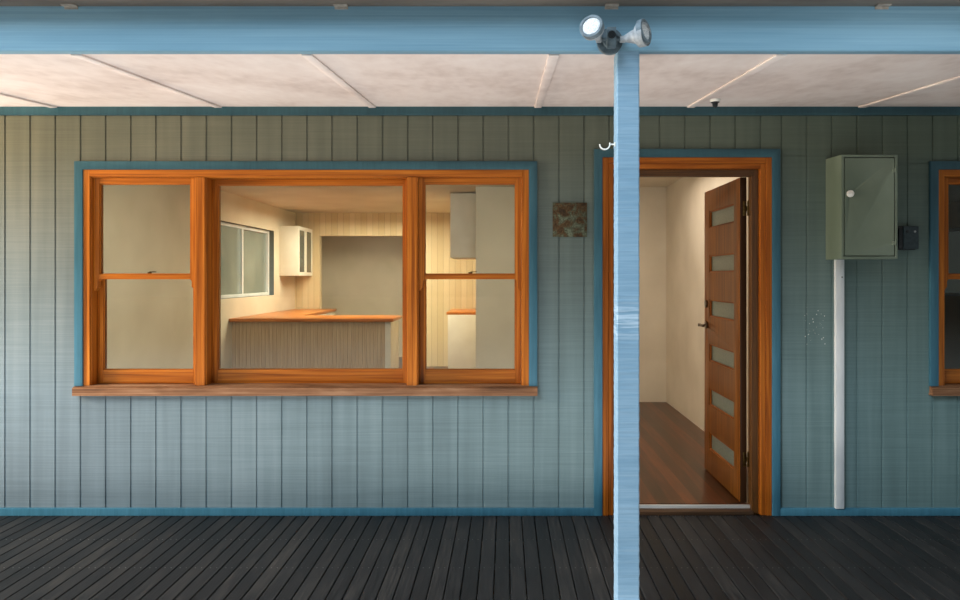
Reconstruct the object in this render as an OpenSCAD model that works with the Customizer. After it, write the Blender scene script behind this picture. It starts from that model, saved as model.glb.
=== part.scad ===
// Single-storey timber beach house with a full-width verandah and cedar joinery.
// X runs along the front, Y runs from the front to the back, Z is up from the ground.

/* [House] */
// Width over the side walls
house_w = 9560; // [9200:20:11000]
// Depth from the front wall face to the back wall face
house_d = 8600; // [8200:50:10500]
// Thickness of an outside wall with cladding and lining
wall_t = 125; // [110:1:160]
// Height of the deck boards above the ground
deck_z = 190; // [170:5:400]
// Step from the deck up to the inside floor
floor_rise = 30; // [15:1:60]
// Height of the verandah ceiling above the deck at the front wall
wall_h = 2439; // [2400:1:2700]
// Thickness of the inside floor boards
floor_t = 20; // [15:1:30]
// Thickness of the flat ceiling inside
ceiling_t = 13; // [10:1:20]
// Height of the flat ceiling above the inside floor
room_h = 2400; // [2350:5:2420]

/* [Ground] */
// Side of a square pile
pile_w = 140; // [100:5:200]
// Width of a perimeter bearer
bearer_w = 90; // [70:5:120]
// Height of a perimeter bearer
bearer_h = 95; // [80:1:98]
// Width of a floor joist or deck joist
joist_w = 45; // [35:1:60]
// Thickness of the boards that close the base
base_board_t = 20; // [15:1:25]
// Set-back of the base boards behind the wall face
base_setback = 15; // [5:1:30]
// Thickness of the deck boards
deck_board_t = 25; // [19:1:40]
// Depth of the deck in front of the wall
deck_d = 1600; // [1560:10:1620]
// Height of a deck joist
deck_joist_h = 100; // [80:1:120]
// Height of the board along the deck edge
deck_edge_h = 140; // [100:5:150]

/* [Verandah] */
// Distance from the front wall face to the front of the posts
post_line = 1512; // [1400:1:1540]
// Side of a square verandah post
post_w = 90; // [75:1:125]
// Distance of the two middle posts from the house centre
post_mid_x = 877; // [800:1:1200]
// Height of the beam's bottom edge above the deck
beam_clear = 2308; // [2250:1:2330]
// Thickness of the beam
beam_t = 45; // [35:1:70]
// Slope of the roof and of the verandah ceiling in degrees
roof_pitch = 5; // [4:0.5:7]
// Thickness of the verandah ceiling sheet
soffit_t = 12; // [6:1:18]
// Width of a ceiling cover strip
strip_w = 42; // [30:1:60]
// Thickness of a ceiling cover strip
strip_t = 8; // [5:1:14]

/* [Roof] */
// Height from the ceiling sheet up to the roof sheet
roof_build = 270; // [240:5:320]
// Overhang of the roof behind the back wall
back_eave = 450; // [300:10:600]
// Spacing of the roof sheet's ribs
rib_pitch = 200; // [150:10:300]
// Height of a rib
rib_h = 25; // [15:1:40]
// Thickness of the roof sheet's flat pan
pan_t = 4; // [3:1:8]
// Thickness of a barge board or fascia board
barge_t = 30; // [20:1:40]
// Width of each wing of the ridge cap
ridge_wing = 220; // [150:10:300]
// Height of the gutter
gutter_h = 92; // [80:1:110]
// Width of the gutter from back to front
gutter_w = 115; // [90:1:130]
// Sheet thickness of the gutter
gutter_t = 3; // [2:0.5:5]
// Outer width of a downpipe
pipe_w = 80; // [60:5:100]

/* [Front windows] */
// Distance of each front window's centre from the house centre
window_x = 2549; // [2300:1:2700]
// Width over the cedar frame
window_w = 2658; // [2400:2:2800]
// Height of the frame's bottom above the deck
window_bottom = 718; // [650:1:900]
// Height of the frame's top above the deck
window_top = 2063; // [1950:1:2120]
// Face width of jamb and head
jamb_w = 45; // [35:1:60]
// Face width of each mullion
mullion_w = 70; // [50:1:100]
// Clear width of a double-hung light
hung_w = 616; // [500:1:700]
// Height of the sill's front face
sill_h = 48; // [35:1:70]
// Distance the sill stands in front of the wall
sill_out = 40; // [25:1:70]
// Thickness of a sash
sash_t = 37; // [30:1:42]
// Visible face width of a sash stile and top rail
stile_w = 38; // [30:1:60]
// Height of a bottom rail
bottom_rail_h = 87; // [60:1:120]
// Height of a meeting rail
meeting_rail_h = 35; // [28:1:50]
// Height of the meeting rail's bottom edge above the deck
meeting_z = 1409; // [1250:1:1500]
// Length of the horns below the meeting rail
horn_h = 70; // [40:1:90]
// Thickness of the glass
glass_t = 5; // [4:1:8]
// Width of the blue surround boards
trim_w = 50; // [40:1:80]
// Thickness of the blue surround boards
trim_t = 20; // [12:1:30]

/* [Entry door] */
// Distance of the door's centre from the house centre, left is negative
door_x = -277; // [-400:1:-200]
// Width of the door leaf
leaf_w = 810; // [760:1:860]
// Height of the door leaf
leaf_h = 2000; // [1950:1:2040]
// Thickness of the door leaf
leaf_t = 40; // [35:1:45]
// Face width of the door frame outside the rebate
door_jamb_w = 95; // [80:1:110]
// Running gap round the door leaf
leaf_gap = 5; // [5:0.5:8]
// Width of the stop that the leaf closes against
stop_w = 12; // [8:1:15]
// Distance of the hinge pin from the leaf face
pin_offset = 8; // [7:0.5:12]
// Number of glass lites in the leaf
lites = 6; // [4:1:6]
// Height of one lite
lite_h = 122; // [90:1:160]
// Spacing of the lites
lite_pitch = 313; // [280:1:320]
// Height of the top rail of the leaf
leaf_top_rail = 146; // [110:1:180]
// Width of the leaf's solid edges beside the lites
leaf_stile = 125; // [100:1:160]
// Height of the lever's spindle above the deck
lever_z = 1080; // [1000:5:1100]
// Height of the deadlock above the deck
deadlock_z = 1231; // [1200:5:1300]
// Distance of the lever and deadlock from the leaf's free edge
lock_backset = 60; // [50:1:70]
// Length of the lever
lever_l = 115; // [90:1:130]

/* [Side and back windows] */
// Width of a sliding window
slider_w = 2100; // [1500:50:2200]
// Height of a sliding window
slider_h = 910; // [700:10:1100]
// Height of its bottom edge above the inside floor
slider_sill = 1140; // [1000:10:1200]
// Distance of the kitchen window's centre behind the front wall
kitchen_window_y = 5004; // [4800:1:5300]
// Face width of the aluminium frame
slider_frame = 40; // [30:1:50]

/* [Floodlight] */
// Distance of the twin floodlight from the house centre, left is negative
lamp_x = -952; // [-1000:1:-930]
// Distance of the lamp pivots in front of the beam
lamp_out = 40; // [35:1:60]
// Turn of the left lamp head outward in degrees
lamp_turn = 24; // [20:1:40]
// Turn of the right lamp head outward in degrees
right_lamp_turn = 53; // [40:1:60]
// Upward tilt of the left lamp head as it is left, in degrees
lamp_tilt = 14; // [0:1:20]
// Radius of a lamp head
lamp_r = 44; // [35:1:55]
// Length of a lamp head from its pivot
lamp_l = 100; // [90:1:120]
// Radius of the round base on the beam
lamp_base_r = 50; // [40:1:60]

/* [Meter box and fittings] */
// Distance of the meter box's centre from the house centre
meter_x = 715; // [690:1:800]
// Width of the meter box
meter_w = 320; // [280:5:400]
// Height of the meter box at its front
meter_h = 593; // [500:1:700]
// Depth of the meter box
meter_d = 206; // [150:1:230]
// Height of the meter box's bottom above the deck
meter_z = 1526; // [1400:1:1600]
// Sheet thickness of the meter box
meter_t = 4; // [3:1:8]
// Width of the rim round the meter box door
meter_rim = 14; // [10:1:20]
// Width of the cable cover under the meter box
conduit_w = 50; // [40:1:80]
// Depth of the cable cover
conduit_out = 28; // [20:1:40]
// Radius of the latch knob
knob_r = 20; // [15:1:24]
// Distance of the key safe's centre from the house centre
key_safe_x = 1020; // [1000:1:1100]
// Distance of the plaque's centre from the house centre, left is negative
plaque_x = -975; // [-1000:1:-930]
// Side of the square plaque
plaque_w = 204; // [150:1:220]

/* [Rooms] */
// Thickness of an inside partition
partition_t = 110; // [90:1:120]
// Distance of the partition beside the entry from the house centre
entry_wall_x = 433; // [400:1:520]
// Depth of the front room behind the front wall face
front_room_d = 3805; // [3500:1:4000]
// Distance of the kitchen's right wall from the house centre, left is negative
kitchen_wall_x = -1694; // [-1800:1:-1600]
// Depth of the kitchen's end wall behind the front wall face
kitchen_end_y = 7100; // [6900:1:7300]
// Length of the end wall left of its opening
hall_jamb = 391; // [300:1:600]
// Clear width of the opening in the kitchen's end wall
hall_opening_w = 1500; // [1200:10:1600]
// Clear height of the opening in the kitchen's end wall
hall_opening_h = 2040; // [1980:10:2100]
// Height of the kitchen bench tops above the floor
bench_h = 900; // [850:5:950]
// Thickness of the timber bench tops
bench_top_t = 38; // [30:1:50]
// Length of the peninsula bench out from the side wall
peninsula_l = 1956; // [1600:2:2100]
// Depth of the peninsula top
peninsula_d = 770; // [600:10:800]
// Distance of the peninsula's front edge behind the front wall face
peninsula_y = 4352; // [4200:1:4500]
// Depth of the bench along the side wall
side_bench_d = 650; // [600:10:700]
// Depth of the short bench against the kitchen's right wall
right_bench_d = 505; // [450:5:600]
// Length of that bench forward from the end wall
right_bench_l = 1089; // [900:1:1300]
// Height of the left wall cupboard's bottom above the floor
left_cupboard_z = 1414; // [1350:1:1450]
// Height of the left wall cupboard
left_cupboard_h = 725; // [600:5:760]
// Depth of the left wall cupboard
left_cupboard_d = 270; // [250:5:350]
// Width of the left wall cupboard along the wall
left_cupboard_w = 771; // [600:1:900]
// Distance of the right wall cupboard's front end before the peninsula's front edge
right_cupboard_before = 61; // [0:1:200]
// Width of the right wall cupboard along the wall
right_cupboard_w = 900; // [600:10:1000]
// Height of the right wall cupboard's bottom above the floor
right_cupboard_z = 1624; // [1500:1:1640]
// Height of the right wall cupboard
right_cupboard_h = 760; // [650:5:760]
// Depth of the right wall cupboard
right_cupboard_d = 320; // [250:5:350]

/* [Hidden] */

// Places worked out from the driving sizes
half_w = house_w / 2;
slope = tan(roof_pitch);
front_reach = post_line + max(gutter_w, lamp_out + lamp_l * cos(lamp_turn) + lamp_r * sin(lamp_turn));
back_reach = house_d + back_eave + gutter_w;
face_y = round((front_reach - back_reach) / 2);
back_y = face_y + house_d;
floor_z = deck_z + floor_rise;
base_z = deck_z - deck_board_t;
soffit_z = deck_z + wall_h;
roof_z = soffit_z + roof_build;
barge_h = roof_build + 10;
ridge_y = face_y + house_d / 2;
beam_y = face_y - post_line;
back_fascia_y = back_y + back_eave - barge_t;
inner_x = half_w - wall_t;
inner_y = face_y + wall_t;
room_top = floor_z + room_h;
big = 20000;

// Underside of the roof sheet above a given place, the same on both slopes
function roof_under(y) = roof_z + (y < ridge_y ? y - face_y : back_y - y) * slope;

// Underside of the verandah ceiling at a given place
function soffit_under(y) = soffit_z + (y - face_y) * slope;

// A block from one corner to the opposite one
module block(x0, x1, y0, y1, z0, z1) {
    translate([x0, y0, z0])
        cube([x1 - x0, y1 - y0, z1 - z0]);
}

// A flat outline in Y and Z made into a plate between two X values
module side_plate(x0, x1, outline) {
    translate([x0, 0, 0])
        rotate([90, 0, 90])
            linear_extrude(height = x1 - x0)
                polygon(outline);
}

// Ground and floor
pile_h = base_z - bearer_h;
bearer_in = 35;
pile_rows = 4;
pile_cols = 5;
pile_x_out = half_w - bearer_in - pile_w / 2;
pile_y_front = face_y + bearer_in + pile_w / 2;
pile_y_back = back_y - bearer_in - pile_w / 2;
floor_joist_n = 15;
deck_joist_rows = 5;
deck_pad_h = base_z - deck_joist_h;
deck_front = face_y - deck_d;
deck_edge_t = 25;

module piles() color("dimgray") {
    for (i = [0 : pile_cols - 1], j = [0 : pile_rows - 1])
        translate([
            -pile_x_out + i * 2 * pile_x_out / (pile_cols - 1) - pile_w / 2,
            pile_y_front + j * (pile_y_back - pile_y_front) / (pile_rows - 1) - pile_w / 2,
            0
        ])
            cube([pile_w, pile_w, pile_h]);
    for (i = [0 : pile_cols - 1])
        translate([
            -pile_x_out + i * 2 * pile_x_out / (pile_cols - 1) - pile_w / 2,
            deck_front + deck_edge_t,
            0
        ])
            cube([pile_w, pile_w, deck_pad_h]);
}

module floor_frame() color("peru") {
    x_out = half_w - bearer_in;
    y_out = face_y + bearer_in;
    y_end = back_y - bearer_in;
    difference() {
        block(-x_out, x_out, y_out, y_end, pile_h, base_z);
        block(-x_out + bearer_w, x_out - bearer_w, y_out + bearer_w, y_end - bearer_w, 0, big);
    }
    for (j = [1 : pile_rows - 2]) {
        y = pile_y_front + j * (pile_y_back - pile_y_front) / (pile_rows - 1);
        block(-x_out + bearer_w / 2, x_out - bearer_w / 2, y - bearer_w / 2, y + bearer_w / 2, pile_h, base_z);
    }
    for (i = [0 : floor_joist_n - 1]) {
        x = -inner_x + joist_w / 2 + i * (2 * inner_x - joist_w) / (floor_joist_n - 1);
        block(x - joist_w / 2, x + joist_w / 2, inner_y, back_y - wall_t, pile_h, floor_z - floor_t);
    }
}

module floor_boards() color("sienna")
    block(-inner_x, inner_x, inner_y, back_y - wall_t, floor_z - floor_t, floor_z);

module base_boards() color("slategray") {
    x_out = half_w - base_setback;
    difference() {
        block(-x_out, x_out, face_y + base_setback, back_y - base_setback, 25, base_z);
        block(-x_out + base_board_t, x_out - base_board_t,
            face_y + base_setback + base_board_t, back_y - base_setback - base_board_t, 0, big);
    }
}

module deck_frame() color("tan") {
    span = deck_d - deck_edge_t - joist_w;
    for (i = [0 : deck_joist_rows - 1]) {
        y = deck_front + deck_edge_t + i * span / (deck_joist_rows - 1);
        block(-half_w + deck_edge_t, half_w - deck_edge_t, y, y + joist_w, deck_pad_h, base_z);
    }
    for (x = [-half_w + deck_edge_t, half_w - deck_edge_t - joist_w])
        block(x, x + joist_w, deck_front + deck_edge_t + 1, face_y - 1, deck_pad_h, base_z);
    difference() {
        block(-half_w, half_w, deck_front, face_y, base_z - deck_edge_h, base_z);
        block(-half_w + deck_edge_t, half_w - deck_edge_t, deck_front + deck_edge_t, face_y + 1, 0, big);
    }
}

module deck_boards() color("#3c3c3e")
    block(-half_w, half_w, deck_front, face_y, base_z, deck_z);

// Walls
window_z0 = deck_z + window_bottom;
window_z1 = deck_z + window_top;
window_hw = window_w / 2;
frame_half = leaf_w / 2 + leaf_gap + door_jamb_w;
rebate_half = leaf_w / 2 + leaf_gap;
leaf_z0 = floor_z + 6;
leaf_z1 = leaf_z0 + leaf_h;
rebate_z = leaf_z1 + leaf_gap;
door_top = rebate_z + door_jamb_w;

module wall_window_hole(xc)
    block(xc - window_hw, xc + window_hw, face_y - 1, inner_y + 1, window_z0, window_z1);

// The top of each front and back wall follows the slope of the roof sheet
module long_wall(x0, x1, y0, y1, z0)
    side_plate(x0, x1, [[y0, z0], [y1, z0], [y1, roof_under(y1)], [y0, roof_under(y0)]]);

module front_wall_left() color("#8f958f")
    difference() {
        long_wall(-half_w, door_x - frame_half, face_y, inner_y, base_z);
        wall_window_hole(-window_x);
    }

module front_wall_right() color("#7d857f")
    difference() {
        long_wall(door_x + frame_half, half_w, face_y, inner_y, base_z);
        wall_window_hole(window_x);
    }

module front_wall_over_door() color("#858b85")
    long_wall(door_x - frame_half, door_x + frame_half, face_y, inner_y, door_top);

slider_z0 = floor_z + slider_sill;
slider_z1 = slider_z0 + slider_h;
kitchen_yc = face_y + kitchen_window_y;
back_window_x = half_w * 0.44;

module gable_wall(x0, x1)
    difference() {
        side_plate(x0, x1, [
            [inner_y, base_z],
            [back_y - wall_t, base_z],
            [back_y - wall_t, roof_under(back_y - wall_t)],
            [ridge_y, roof_under(ridge_y)],
            [inner_y, roof_under(inner_y)]
        ]);
        block(x0 - 1, x1 + 1, kitchen_yc - slider_w / 2, kitchen_yc + slider_w / 2, slider_z0, slider_z1);
    }

module side_wall_left() color("#8a908b") gable_wall(-half_w, -inner_x);

module side_wall_right() color("#8a908b") gable_wall(inner_x, half_w);

module back_wall() color("#8a908b")
    difference() {
        long_wall(-half_w, half_w, back_y - wall_t, back_y, base_z);
        for (s = [-1, 1])
            block(s * back_window_x - slider_w / 2, s * back_window_x + slider_w / 2,
                back_y - wall_t - 1, back_y + 1, slider_z0, slider_z1);
    }

// Blue boards on the walls
base_trim_h = 45;
top_trim_h = 50;
corner_w = 50;
surround_half = window_hw + trim_w;
door_surround_half = frame_half + trim_w;
sill_fall = 6;
corner_top = roof_under(face_y - trim_t) - barge_h - 1;

module wall_trims() color("#5f8ea3") {
    block(-half_w + corner_w, door_x - door_surround_half, face_y - trim_t, face_y, deck_z, deck_z + base_trim_h);
    block(door_x + door_surround_half, half_w - corner_w, face_y - trim_t, face_y, deck_z, deck_z + base_trim_h);
    top_front = soffit_under(face_y - trim_t);
    block(-half_w + corner_w, half_w - corner_w, face_y - trim_t, face_y, top_front - top_trim_h, top_front);
    corner_boards();
}

// Each outside corner has two boards that meet as an angle
module corner_boards()
    for (s = [-1, 1]) {
        x0 = s > 0 ? half_w - corner_w : -half_w - trim_t;
        difference() {
            union() {
                block(x0, x0 + corner_w + trim_t, face_y - trim_t, face_y + corner_w, deck_z, corner_top);
                block(x0, x0 + corner_w + trim_t, back_y - corner_w, back_y + trim_t, base_z, corner_top);
            }
            block(-half_w, half_w, face_y, back_y, 0, big);
        }
    }

module window_surrounds() color("#5f8ea3")
    for (s = [-1, 1])
        difference() {
            block(s * window_x - surround_half, s * window_x + surround_half,
                face_y - trim_t, face_y, window_z0 + sill_h + sill_fall, window_z1 + trim_w);
            block(s * window_x - window_hw, s * window_x + window_hw,
                face_y - trim_t - 1, face_y + 1, 0, window_z1);
        }

module door_surround() color("#5f8ea3")
    difference() {
        block(door_x - door_surround_half, door_x + door_surround_half,
            face_y - trim_t, face_y, deck_z, door_top + trim_w);
        block(door_x - frame_half, door_x + frame_half, face_y - trim_t - 1, face_y + 1, 0, door_top);
    }

// Cedar front windows: double-hung, fixed, double-hung
frame_front = face_y - 12;
upper_y = face_y + 18;
lower_y = upper_y + sash_t + 5;
fixed_y = inner_y - sash_t - 2;
pocket = 10;
sash_side = 1.5;
head_z = window_z1 - jamb_w;
sill_z = window_z0 + sill_h + 9;
fixed_w = window_w - 2 * jamb_w - 2 * hung_w - 2 * mullion_w;
fixed_stile = stile_w + 5;
meet_z = deck_z + meeting_z;
hung_xc = fixed_w / 2 + mullion_w + hung_w / 2;
glass_in = 6;

module frame_outline(xc) {
    // Outer frame with three lights cut through it
    difference() {
        block(xc - window_hw, xc + window_hw, frame_front, inner_y, window_z0, window_z1);
        for (s = [-1, 1])
            block(xc + s * hung_xc - hung_w / 2, xc + s * hung_xc + hung_w / 2,
                frame_front - 1, inner_y + 1, sill_z, head_z);
        block(xc - fixed_w / 2, xc + fixed_w / 2, frame_front - 1, inner_y + 1, sill_z, head_z);
        // The pulley stiles are ploughed for the two sashes
        for (s = [-1, 1], y = [upper_y, lower_y])
            block(xc + s * hung_xc - hung_w / 2 - pocket, xc + s * hung_xc + hung_w / 2 + pocket,
                y - 1, y + sash_t + 1, sill_z, head_z);
        // The step round the frame that the outer bead leaves
        for (s = [-1, 1])
            block(xc + s * hung_xc - hung_w / 2 - 6, xc + s * hung_xc + hung_w / 2 + 6,
                frame_front - 1, frame_front + 10, sill_z, head_z + 6);
        block(xc - fixed_w / 2 - 6, xc + fixed_w / 2 + 6, frame_front - 1, frame_front + 10, sill_z, head_z + 6);
    }
}

module sill(xc)
    translate([xc - surround_half, 0, 0])
        rotate([90, 0, 90])
            linear_extrude(height = 2 * surround_half)
                polygon([
                    [face_y - sill_out, window_z0],
                    [face_y - sill_out, window_z0 + sill_h - 4],
                    [face_y - sill_out + 4, window_z0 + sill_h],
                    [frame_front, window_z0 + sill_h + sill_fall],
                    [frame_front, window_z0 + 12],
                    [face_y, window_z0 + 12],
                    [face_y, window_z0],
                    [face_y - 14, window_z0],
                    [face_y - 14, window_z0 + 6],
                    [face_y - 22, window_z0 + 6],
                    [face_y - 22, window_z0]
                ]);

module window_frames() color("#b4622c")
    for (s = [-1, 1]) {
        difference() {
            union() {
                frame_outline(s * window_x);
                sill(s * window_x);
            }
            // The ends of the sill stay clear of the wall behind them
            for (e = [-1, 1])
                translate([s * window_x + e * (window_hw + trim_w / 2), face_y + 500, window_z0 + sill_h / 2])
                    cube([trim_w, 1000, 2 * sill_h], center = true);
        }
    }

// A sash in the X and Z plane, with its glass cut in a groove
module sash(xc, w, z0, z1, y, side, top, bottom) {
    difference() {
        block(xc - w / 2, xc + w / 2, y, y + sash_t, z0, z1);
        block(xc - w / 2 + side, xc + w / 2 - side, y - 1, y + sash_t + 1, z0 + bottom, z1 - top);
        block(xc - w / 2 + side - glass_in, xc + w / 2 - side + glass_in,
            y + sash_t / 2 - glass_t / 2, y + sash_t / 2 + glass_t / 2,
            z0 + bottom - glass_in, z1 - top + glass_in);
        // Splayed glazing beads on the outside
        translate([xc, y, (z0 + bottom + z1 - top) / 2])
            rotate([-90, 0, 0])
                linear_extrude(height = 8)
                    square([w - 2 * side + 10, z1 - top - z0 - bottom + 10], center = true);
    }
}

sash_w = hung_w + 2 * pocket - 2 * sash_side;
sash_side_w = stile_w + pocket - sash_side;
horn_curve = 24;

// The horn is the stile's end below the meeting rail, cut to an ogee
module horn(x0, flip)
    translate([x0, upper_y + sash_t, meet_z])
        mirror([flip, 0, 0])
            rotate([90, 0, 0])
                linear_extrude(height = sash_t)
                    difference() {
                        translate([0, -horn_h])
                            square([sash_side_w, horn_h + 1]);
                        translate([sash_side_w, -horn_h])
                            circle(r = horn_curve, $fn = 48);
                        translate([sash_side_w - 12, -horn_h + 20])
                            square([13, horn_h]);
                    }

module upper_sashes() color("#c06c30")
    for (s = [-1, 1], e = [-1, 1]) {
        xc = s * window_x + e * hung_xc;
        sash(xc, sash_w, meet_z, head_z, upper_y, sash_side_w, stile_w, meeting_rail_h);
        horn(xc - sash_w / 2, 0);
        horn(xc + sash_w / 2, 1);
    }

module lower_sashes() color("#a9592a")
    for (s = [-1, 1], e = [-1, 1])
        sash(s * window_x + e * hung_xc, sash_w, sill_z, meet_z + meeting_rail_h,
            lower_y, sash_side_w, meeting_rail_h, bottom_rail_h);

module fixed_lights() color("#b4622c")
    for (s = [-1, 1])
        sash(s * window_x, fixed_w, sill_z, head_z, fixed_y, fixed_stile, stile_w, bottom_rail_h);

module pane(xc, w, z0, z1, y, side, top, bottom)
    block(xc - w / 2 + side - glass_in, xc + w / 2 - side + glass_in,
        y + sash_t / 2 - glass_t / 2, y + sash_t / 2 + glass_t / 2,
        z0 + bottom - glass_in, z1 - top + glass_in);

module front_window_glass() color([0.7, 0.8, 0.8, 0.4])
    for (s = [-1, 1]) {
        for (e = [-1, 1]) {
            xc = s * window_x + e * hung_xc;
            pane(xc, sash_w, meet_z, head_z, upper_y, sash_side_w, stile_w, meeting_rail_h);
            pane(xc, sash_w, sill_z, meet_z + meeting_rail_h, lower_y, sash_side_w, meeting_rail_h, bottom_rail_h);
        }
        pane(s * window_x, fixed_w, sill_z, head_z, fixed_y, fixed_stile, stile_w, bottom_rail_h);
    }

// Fasteners on the lower sash's meeting rail
module sash_locks() color("#9a8a5a")
    for (s = [-1, 1], e = [-1, 1])
        translate([s * window_x + e * hung_xc, lower_y + sash_t / 2, meet_z + meeting_rail_h]) {
            cylinder(r = 12, h = 8, $fn = 32);
            translate([0, -6, 8])
                cube([38, 12, 5]);
        }

// White sliding windows in the side and back walls, drawn flat and then turned into place
slider_depth = 60;
slider_glass = 5;

module slider_frame_flat()
    difference() {
        translate([-slider_w / 2, 0, 0])
            cube([slider_w, slider_depth, slider_h]);
        for (x = [-slider_w / 2 + slider_frame, slider_frame / 2])
            translate([x, -1, slider_frame])
                cube([slider_w / 2 - 1.5 * slider_frame, slider_depth + 2, slider_h - 2 * slider_frame]);
        slider_glass_flat();
    }

module slider_glass_flat()
    for (i = [0, 1])
        translate([i == 0 ? -slider_w / 2 + slider_frame - glass_in : slider_frame / 2 - glass_in,
                slider_depth / 2 + (i == 0 ? -12 : 8), slider_frame - glass_in])
            cube([slider_w / 2 - 1.5 * slider_frame + 2 * glass_in, slider_glass,
                slider_h - 2 * slider_frame + 2 * glass_in]);

module each_slider() {
    for (s = [-1, 1]) {
        translate([s * half_w, kitchen_yc, slider_z0])
            rotate([0, 0, s * 90])
                children();
        translate([s * back_window_x, back_y, slider_z0])
            rotate([0, 0, 180])
                children();
    }
}

module side_window_frames() color("white")
    each_slider() slider_frame_flat();

module side_window_glass() color([0.7, 0.8, 0.8, 0.4])
    each_slider() slider_glass_flat();

// Entry door, drawn closed and turned about its pin to stand open
leaf_inner_y = inner_y - 6;
leaf_outer_y = leaf_inner_y - leaf_t;
pin_x = door_x + rebate_half;
pin_y = leaf_inner_y + pin_offset;
stop_y = leaf_outer_y - leaf_gap;
knuckle_r = 6;
hinge_h = 90;
hinge_plate_w = 30;
hinge_plate_t = 2;
hinge_z = [leaf_z0 + 220, leaf_z0 + 1764];

module open_leaf()
    translate([pin_x, pin_y, 0])
        rotate([0, 0, -90])
            translate([-pin_x, -pin_y, 0])
                children();

outer_mould_w = 36;
inner_mould_w = 30;
outer_mould_out = 15;
inner_mould_out = 9;
frame_set_back = 24;

// Stepped cedar frame: two planted mouldings outside, the frame set back, a stop, then the rebate
module door_frame() color("#8a4a26")
    difference() {
        door_ring(0, face_y - outer_mould_out, inner_y);
        door_ring_hole(-door_jamb_w + outer_mould_w + inner_mould_w,
            face_y - outer_mould_out - 1, face_y + frame_set_back);
        door_ring_hole(-door_jamb_w + outer_mould_w, face_y - outer_mould_out - 1, face_y - inner_mould_out);
        door_ring_hole(stop_w, face_y - outer_mould_out - 1, inner_y + 1);
        door_ring_hole(0, stop_y, inner_y + 1);
        // Room for the hinge flaps and their knuckles
        for (z = hinge_z) {
            block(pin_x - 1, pin_x + hinge_plate_t, pin_y - hinge_plate_w, inner_y + 1, z, z + hinge_h);
            translate([pin_x, pin_y, z])
                cylinder(r = knuckle_r + 1, h = hinge_h, $fn = 48);
        }
    }

module door_ring(inset, y0, y1)
    block(door_x - frame_half + inset, door_x + frame_half - inset, y0, y1, deck_z, door_top - inset);

// Hole that is grown outward from the rebate by a negative width, or drawn in by a positive one
module door_ring_hole(inward, y0, y1)
    block(door_x - rebate_half + inward, door_x + rebate_half - inward, y0, y1, 0, rebate_z - inward);

threshold_z = floor_z + 12;
sill_board_t = 24;
strip_front = 50;
frame_lip = 10;

// A timber sill board with a raised metal strip behind it

module door_threshold() color("#8a8a88")
    side_plate(door_x - rebate_half + stop_w, door_x + rebate_half - stop_w, [
        [face_y - frame_lip, deck_z],
        [face_y - frame_lip, deck_z + sill_board_t - 2],
        [face_y + strip_front, deck_z + sill_board_t],
        [face_y + strip_front + 4, threshold_z],
        [stop_y - 2, threshold_z],
        [stop_y - 2, deck_z]
    ]);

module leaf_lites(grow, y0, y1)
    for (i = [0 : lites - 1]) {
        z1 = leaf_z1 - leaf_top_rail - i * lite_pitch;
        block(door_x - leaf_w / 2 + leaf_stile - grow, door_x + leaf_w / 2 - leaf_stile + grow,
            y0, y1, z1 - lite_h - grow, z1 + grow);
    }

lever_xc = door_x - leaf_w / 2 + lock_backset;
lever_zc = deck_z + lever_z;
deadlock_zc = deck_z + deadlock_z;
spindle_r = 5;
rose_r = 26;

module leaf_hole(z, r)
    translate([lever_xc, leaf_outer_y - 1, z])
        rotate([-90, 0, 0])
            cylinder(r = r, h = leaf_t + 2, $fn = 48);

module door_leaf() color("#a2562a")
    open_leaf()
        difference() {
            block(door_x - leaf_w / 2, door_x + leaf_w / 2, leaf_outer_y, leaf_inner_y, leaf_z0, leaf_z1);
            leaf_lites(0, leaf_outer_y - 1, leaf_inner_y + 1);
            leaf_lites(glass_in, leaf_outer_y + leaf_t / 2 - glass_t / 2, leaf_outer_y + leaf_t / 2 + glass_t / 2);
            leaf_hole(lever_zc, spindle_r + 5);
            leaf_hole(deadlock_zc, 14);
            for (z = hinge_z)
                block(door_x + leaf_w / 2 - hinge_plate_t, door_x + leaf_w / 2 + 1,
                    pin_y - hinge_plate_w, leaf_inner_y + 1, z, z + hinge_h);
        }

module door_glass() color([0.65, 0.72, 0.72, 0.5])
    open_leaf()
        leaf_lites(glass_in, leaf_outer_y + leaf_t / 2 - glass_t / 2, leaf_outer_y + leaf_t / 2 + glass_t / 2);

// Each hinge has three knuckles: the frame holds the outer two and the pin, the leaf the middle one
knuckle_gap = 0.5;
pin_r = 2.5;

module frame_hinges() color("#b89a52")
    for (z = hinge_z) {
        difference() {
            union() {
                translate([pin_x, pin_y, z])
                    cylinder(r = knuckle_r, h = hinge_h, $fn = 48);
                block(pin_x, pin_x + hinge_plate_t, pin_y - hinge_plate_w, pin_y, z, z + hinge_h);
            }
            translate([pin_x - 20, pin_y - knuckle_r - 1, z + hinge_h / 3 - knuckle_gap])
                cube([20 + hinge_plate_t + 20, 2 * knuckle_r + 2, hinge_h / 3 + 2 * knuckle_gap]);
        }
        translate([pin_x, pin_y, z])
            cylinder(r = pin_r, h = hinge_h + 4, $fn = 48);
    }

module leaf_hinges() color("#b89a52")
    open_leaf()
        for (z = hinge_z)
            difference() {
                union() {
                    translate([pin_x, pin_y, z + hinge_h / 3])
                        cylinder(r = knuckle_r, h = hinge_h / 3, $fn = 48);
                    block(door_x + leaf_w / 2 - hinge_plate_t, door_x + leaf_w / 2,
                        pin_y - hinge_plate_w, leaf_inner_y, z, z + hinge_h);
                    block(door_x + leaf_w / 2 - hinge_plate_t, pin_x, leaf_inner_y, pin_y,
                        z + hinge_h / 3, z + 2 * hinge_h / 3);
                }
                translate([pin_x, pin_y, z])
                    cylinder(r = pin_r + 0.1, h = hinge_h, $fn = 48);
            }

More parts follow.
